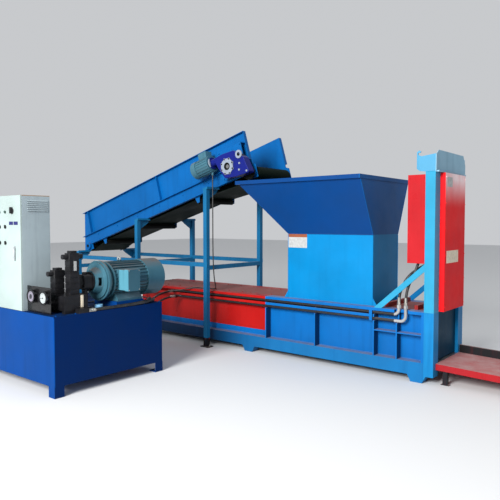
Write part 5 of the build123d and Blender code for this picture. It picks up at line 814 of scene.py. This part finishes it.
def capped(points):
    """Quads between neighbours of rings of points, and one flat face over each end."""
    rings, sides = points.shape[:2]
    index = np.arange(rings * sides).reshape(rings, sides)
    index = np.hstack([index, index[:, :1]])
    quads = np.stack([index[:-1, :-1], index[:-1, 1:], index[1:, 1:], index[1:, :-1]], axis=-1)
    last = (rings - 1) * sides
    ends = [list(range(sides - 1, -1, -1)), list(range(last, last + sides))]
    return points.reshape(-1, 3), quads.reshape(-1, 4).tolist() + ends


def turned(profile, centre, axis, sides=24):
    """Profile of (radius, height) pairs turned about the axis through centre, closed by flat ends:
    point = centre + radius (cos t first + sin t second) + height axis."""
    first, second, beam_shade = square_to(axis)
    radius, height = np.array(profile, float).T
    ring = circle_in(first, second, sides)
    return capped(np.array(centre) + radius[:, None, None] * ring[None] + height[:, None, None] * beam_shade)


def block(low, high):
    """Box between two corners."""
    corners = np.array(np.meshgrid([0, 1], [0, 1], [0, 1], indexing="ij")).reshape(3, -1).T
    points = np.array(low) + corners * (np.array(high) - np.array(low))
    faces = [[0, 1, 3, 2], [4, 6, 7, 5], [0, 4, 5, 1], [2, 3, 7, 6], [0, 2, 6, 4], [1, 5, 7, 3]]
    return points, faces


def join(shapes):
    """Several shapes as one, with each one's faces counted on from the last."""
    starts = np.cumsum([0] + [len(points) for points, _ in shapes[:-1]])
    faces = []
    for start, (_, own_faces) in zip(starts, shapes):
        faces += [[corner + int(start) for corner in face] for face in own_faces]
    return np.vstack([points for points, _ in shapes]), faces


SMOOTH_BELOW = radians(32)


def put(name, shape, finish, body="frame", bevel=0.0):
    """Makes the shape a piece of the machine that moves with the body."""
    points, faces = shape
    mesh = bpy.data.meshes.new(name)
    mesh.from_pydata(points.tolist(), [], faces)
    mesh.materials.append(finish)
    mesh.shade_smooth()
    mesh.set_sharp_from_angle(angle=SMOOTH_BELOW)
    piece = bpy.data.objects.new(name, mesh)
    scene.collection.objects.link(piece)
    if bevel:
        edge = piece.modifiers.new("edge", "BEVEL")
        edge.width = bevel
        edge.segments = 2
        edge.limit_method = "ANGLE"
    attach(piece, body)


def bolt(seat, axis, across):
    """Hex head on its washer, as wide across the flats as given: the corners lie on a circle of
    across / root 3, and the head is 0.62 across high with a chamfered top."""
    corner = across / 1.732
    rim = 0.81 * across
    base = 0.08 * across
    washer = turned([(rim, 0), (rim, base)], seat, axis, 20)
    head = [(corner, base), (corner, base + 0.52 * across), (0.86 * corner, base + 0.62 * across)]
    return join([washer, turned(head, seat, axis, 6)])


def bead(start, end, radius, pitch=0.01):
    """Weld bead: a circle of 7 points carried along the line s, which swells at every pitch and
    wanders slowly: radius (1 + 0.13 sin squared (pi s / pitch) + 0.05 sin (37 s))."""
    start, end = np.array(start, float), np.array(end, float)
    length = np.linalg.norm(end - start)
    first, second, beam_shade = square_to(end - start)
    s = np.linspace(0, length, max(3, int(length / pitch * 2) + 1))
    swell = radius * (1 + 0.13 * np.sin(pi * s / pitch) ** 2 + 0.05 * np.sin(s * 37.0))
    ring = circle_in(first, second, 7)
    return capped(start + s[:, None, None] * beam_shade + swell[:, None, None] * ring[None])


print("shape helpers ready")

# %% [markdown]
# ## Bolts and nuts
# The machine stands on anchor bolts, and the tank and the stand on smaller ones. A list of seats and one
# direction is enough for each group. The near side is at negative y, and the far side mirrors it.


# %% Anchor nuts and foot bolts
NEAR, FAR, GATEWARD, UP = (0, -1, 0), (0, 1, 0), (1, 0, 0), (0, 0, 1)
MIRROR = (1, -1, 1)
STAND_POSTS = (-0.758, -2.25, -3.84)
STAND_Y = 0.603


def row(first, last, count):
    """Evenly spaced places from first to last."""
    return np.linspace(first, last, count)


def studs(seats, across):
    """Anchor nuts, each on a stud that stands out of it."""
    shapes = [bolt(seat, UP, across) for seat in seats]
    stud = [(0.3 * across, 0), (0.3 * across, 1.3 * across), (0.24 * across, 1.4 * across)]
    shapes += [turned(stud, seat, UP, 14) for seat in seats]
    return join(shapes)


press_feet = [(x, y, 0.016) for x in (-2.26, -0.123, 2.26) for y in (-0.395, 0.395)]
put("press_anchor_nuts", studs(press_feet, 0.03), zinc)
tank_feet = [(x, y, 0.012) for x in (-1.714, -0.324) for y in (-3.238, -1.928)]
put("tank_foot_nuts", studs(tank_feet, 0.024), zinc)
shoe_x = [post + side for post in STAND_POSTS for side in (-0.057, 0.057)]
shoes = [(x, y, 0.012) for x in shoe_x for y in (-STAND_Y, STAND_Y)]
put("stand_shoe_nuts", studs(shoes, 0.018), zinc)
print("anchor nuts", len(press_feet) + len(tank_feet) + len(shoes))

# %% [markdown]
# Covers are held by small screws in even rows along their edges, painted over with the cover. A row is
# found from its two ends and a count.

# %% Screws along the covers
SIDE_GUARD_Y = -0.45
GUARD_FRONT_X = 2.508
DECK_TOP = 0.778


def screws(seats, axis, across):
    """Plain hex screws on washers, all facing one way."""
    return join([bolt(seat, axis, across) for seat in seats])


def screws_on_both(name, seats, across, finish):
    """Screws that face the near side, and the same ones mirrored to the far side."""
    seats = np.array(seats, float)
    put(name, screws(seats, NEAR, across), finish)
    put(f"{name}_far", screws(seats * MIRROR, FAR, across), finish)


side_rows = [row((x, SIDE_GUARD_Y, 1.345), (x, SIDE_GUARD_Y, 2.235), 5) for x in (2.16, 2.325)]
screws_on_both("side_guard_screws", np.vstack(side_rows), 0.01, guard_red)
front_rows = [row((GUARD_FRONT_X, y, 0.83), (GUARD_FRONT_X, y, 2.245), 6) for y in (-0.292, 0.292)]
put("front_guard_screws", screws(np.vstack(front_rows), GATEWARD, 0.01), front_red)
deck_rows = [row((-2.4, y, DECK_TOP), (0.4, y, DECK_TOP), 12) for y in (-0.28, 0.28)]
put("deck_screws", screws(np.vstack(deck_rows), UP, 0.014), deck_red)
print("cover screws", [len(np.vstack(rows)) for rows in (side_rows, front_rows, deck_rows)])

# %% [markdown]
# The conveyor leans, so its bolts are placed by the distance uphill and the depth below its top edge, and
# one formula turns those into x and z. Rings of bolts hold the bearings and the gearbox cover.

# %% Bolts on the conveyor and its drive
CONVEYOR_LEAN = radians(16.2)
CONVEYOR_TOP = (-0.23, 2.999)


def on_belt(s, y, depth):
    """A place given by distance uphill, width and depth below the conveyor's top edge, in metres:
    x = top x + s cos lean + depth sin lean, z = top z + s sin lean - depth cos lean."""
    c, k = cos(CONVEYOR_LEAN), sin(CONVEYOR_LEAN)
    return (CONVEYOR_TOP[0] + s * c + depth * k, y, CONVEYOR_TOP[1] + s * k - depth * c)


def circle_on_belt(s, depth, y, radius, count, start=0.0):
    """Places evenly round a circle that lies in the conveyor's side."""
    turns = start + np.arange(count) * 2 * pi / count
    return [on_belt(s + radius * cos(t), y, depth + radius * sin(t)) for t in turns]


bearing_bolts = []
for s in (-0.035, -3.905):
    bearing_bolts += circle_on_belt(s, 0.59, -0.432, 0.046, 4, pi / 4)
screws_on_both("bearing_bolts", bearing_bolts, 0.012, conveyor_blue)
ring_bolts = circle_on_belt(-0.258, 0.432, -0.622, 0.103, 8, radians(-11))
put("gearbox_ring_bolts", screws(ring_bolts, NEAR, 0.014), black_casting)
bracket_bolts = [on_belt(s, -0.498, depth) for depth in (0.172, 0.54) for s in (-0.45, -0.06)]
put("bracket_bolts", screws(bracket_bolts, NEAR, 0.018), conveyor_blue)
bed_bolts = [on_belt(s, -0.392, depth) for s in np.arange(-3.6, -0.3, 0.55) for depth in (0.46, 0.55)]
screws_on_both("bed_bolts", bed_bolts, 0.014, conveyor_blue)
print("bolts on the near side", len(bearing_bolts) + len(bracket_bolts) + len(bed_bolts))

# %% [markdown]
# The motor hangs on the bell housing by eight bolts round a circle. Four small screws close its terminal
# box, and the tank's lid is screwed down along three edges.

# %% Bolts on the power unit
MOTOR_X, MOTOR_Z = -0.55, 1.108
FLANGE_Y, FLANGE_CIRCLE = -2.552, 0.205
TANK_TOP = 0.817
angles = np.arange(8) * pi / 4 + pi / 8
flange = [(MOTOR_X + FLANGE_CIRCLE * cos(a), FLANGE_Y, MOTOR_Z + FLANGE_CIRCLE * sin(a)) for a in angles]
put("motor_flange_bolts", screws(flange, FAR, 0.022), motor_green)
lid_screws = [(-0.17, y, z) for y in (-2.437, -2.296) for z in (1.014, 1.226)]
put("terminal_box_screws", screws(lid_screws, GATEWARD, 0.009), zinc)
tank_lid = [row((x, -3.26, TANK_TOP), (x, -1.905, TANK_TOP), 7) for x in (-0.285, -1.753)]
tank_lid.append(row((-0.55, -1.89, TANK_TOP), (-1.5, -1.89, TANK_TOP), 5))
put("tank_lid_screws", screws(np.vstack(tank_lid), UP, 0.014), tank_blue)
print("bolts on the power unit", len(flange) + len(lid_screws) + len(np.vstack(tank_lid)))

# %% [markdown]
# ## Weld beads
# Plates of this thickness are joined by a fillet about five millimetres high with a rippled face. A round
# bead laid half into the corner looks the same and takes the paint of the plates beside it.


# %% Welds
RIB_FACES = (0.183, 0.949, 1.75, 2.032)
RIB_THICK = 0.016
PRESS_WALL_Y = -0.341
BOX_WALL_Y = -0.336
BOX_ENDS = (0.459, 1.671)
RIM_Y, RIM_Z = -0.634, 2.252
RIM_ENDS = (-0.12, 1.661)


def corner_welds(name, lines, radius, finish):
    """Beads along the given lines, and the same lines mirrored to the far side."""
    twin = [(np.array(start) * MIRROR, np.array(end) * MIRROR) for start, end in lines]
    put(name, join([bead(start, end, radius) for start, end in lines + twin]), finish)


def level(y, z, x_from, x_to):
    """Line along x at one y and z."""
    return (x_from, y, z), (x_to, y, z)


press_lines = []
for face in RIB_FACES:
    for x in (face - RIB_THICK, face):
        press_lines.append(((x, PRESS_WALL_Y, 0.232), (x, PRESS_WALL_Y, 0.61)))
press_lines.append(level(PRESS_WALL_Y, 0.223, -2.44, 2.3))
corner_welds("press_welds", press_lines, 0.005, bright_blue)
box_lines = [((x, BOX_WALL_Y, 0.782), (x, BOX_WALL_Y, 1.6)) for x in BOX_ENDS]
box_lines.append(level(BOX_WALL_Y, 0.779, 0.47, 1.66))
corner_welds("feed_box_welds", box_lines, 0.004, azure)
hopper_lines = [((low, BOX_WALL_Y, 1.612), (high, RIM_Y, RIM_Z)) for low, high in zip(BOX_ENDS, RIM_ENDS)]
hopper_lines.append(level(BOX_WALL_Y, 1.61, 0.462, 1.668))
corner_welds("hopper_welds", hopper_lines, 0.004, hopper_blue)
column_lines = [level(-0.449, z, 2.346, 2.444) for z in (0.78, 2.3)]
corner_welds("column_welds", column_lines, 0.004, sky_blue)
stand_lines = []
for post in STAND_POSTS:
    for x in (post - 0.033, post + 0.033):
        stand_lines.append(((x, -0.635, 0.013), (x, -0.571, 0.013)))
    stand_lines.append(((post + 0.034, -0.632, 1.131), (post + 0.034, -0.632, 1.189)))
corner_welds("stand_welds", stand_lines, 0.004, stand_blue)

# %% [markdown]
# ## Plates, dials and hose ends
# Labels on the real machine are left bare: a plain sheet of the same size and colour in the same place.


# %% Bare labels
def plate(name, low, high, finish, bevel=0.0):
    """Bare sheet or strip between two corners, laid on the face behind it."""
    put(name, block(low, high), finish, bevel=bevel)


plate("feed_box_label", (0.461, -0.3362, 1.431), (0.75, -0.335, 1.605), label_white)
plate("feed_box_label_band", (0.461, -0.3366, 1.566), (0.75, -0.3355, 1.605), label_orange)
plate("guard_label", (GUARD_FRONT_X, -0.26, 1.309), (2.5088, 0.1, 1.445), label_cream)
plate("guard_top_label", (GUARD_FRONT_X, -0.265, 2.142), (2.5088, -0.105, 2.248), label_white)
plate("valve_tag", (-0.402, -2.972, 1.251), (-0.401, -2.938, 1.35), label_white)
plate("thermometer", (-0.34, -2.935, 0.87), (-0.333, -2.905, 0.998), label_cream, bevel=0.0015)
door_plates = [block((x, -3.2908, 1.728), (x + 0.085, -3.29, 1.764)) for x in (-1.116, -1.018)]
put("door_plates", join(door_plates), plate_navy, body="door")


# %% [markdown]
# A dial is a thin disc with ticks and a needle, all blocks turned about its centre. They lie in steps of
# about a millimetre in front of each other, or their faces would flicker.

# %% Gauge faces
DIAL_Y = -3.268
GAUGE_Z = 0.985
LEFT_GAUGE_X, RIGHT_GAUGE_X = -0.737, -0.507


def hand(centre, angle, low, high):
    """Block of a mark that points outward from the centre at the angle, clockwise from straight up."""
    points, faces = block(low, high)
    side = np.array([cos(angle), 0, -sin(angle)])
    beam_shade = np.array([sin(angle), 0, cos(angle)])
    return np.array(centre) + points @ np.array([side, FAR, beam_shade]), faces


def gauge_face(x, turn, finish):
    """Disc with a ring of ticks, and a needle turned from straight up by turn degrees."""
    disc = turned([(0.053, 0), (0.053, 0.0006)], (x, DIAL_Y, GAUGE_Z), NEAR, 64)
    put(f"dial_{turn}", disc, finish)
    tick_centre = (x, DIAL_Y - 0.0011, GAUGE_Z)
    marks = []
    for number, angle in enumerate(np.radians(np.linspace(-135, 135, 31))):
        inner, half = (0.038, 0.0012) if number % 5 == 0 else (0.043, 0.0006)
        marks.append(hand(tick_centre, angle, (-half, 0, inner), (half, 0.0005, 0.048)))
    needle_centre = (x, DIAL_Y - 0.0026, GAUGE_Z)
    marks.append(hand(needle_centre, radians(turn), (-0.0016, 0, -0.014), (0.0016, 0.0008, 0.041)))
    hub = [(0.006, 0), (0.006, 0.0028), (0.004, 0.0034)]
    marks.append(turned(hub, (x, DIAL_Y - 0.0006, GAUGE_Z), NEAR, 20))
    put(f"dial_marks_{turn}", join(marks), gauge_dark)


gauge_face(LEFT_GAUGE_X, -128, gauge_violet)
centre_disc = turned([(0.026, 0), (0.026, 0.001)], (LEFT_GAUGE_X, DIAL_Y - 0.0004, GAUGE_Z), NEAR, 48)
put("dial_centre", centre_disc, gauge_dark)
gauge_face(RIGHT_GAUGE_X, -96, gauge_white)

# %% [markdown]
# A hose ends in a sleeve crimped round the rubber, which leaves grooves, and in a hex nut that turns on
# the fitting. Both are profiles turned about the hose's axis at its end.


# %% Hose ends
def ferrule(tip, axis):
    """Hex swivel nut at the tip, then a crimped sleeve with five grooves, one every 11 mm."""
    bore = HOSE_WIDTH / 2
    h = np.linspace(0.03, 0.085, 45)
    grooves = bore * (1.22 - 0.07 * (np.sin((h - 0.03) * 2 * pi / 0.011) > 0.2))
    sleeve = [(0.9 * bore, 0.028), *zip(grooves, h), (0.99 * bore, 0.088)]
    nut = [(1.36 * bore, 0.0), (1.42 * bore, 0.003), (1.42 * bore, 0.026), (1.3 * bore, 0.03)]
    return join([turned(sleeve, tip, axis, 28), turned(nut, tip, axis, 6)])


DOWN = (0, 0, -1)
hose_ends = [ferrule(route[0], NEAR) for route in POWER_ROUTES]
hose_ends += [ferrule(route[-1], FAR) for route in POWER_ROUTES]
hose_ends += [ferrule(route[0], UP) for route in TOWER_ROUTES]
hose_ends += [ferrule(route[-1], DOWN) for route in TOWER_ROUTES]
put("hose_ferrules", join(hose_ends), zinc)
print("hose ends", len(hose_ends))

# %% [markdown]
# ## Update
# The dressed machine has to keep the size of its solids. The view layer is updated last.

# %% Finish
bpy.context.view_layer.update()
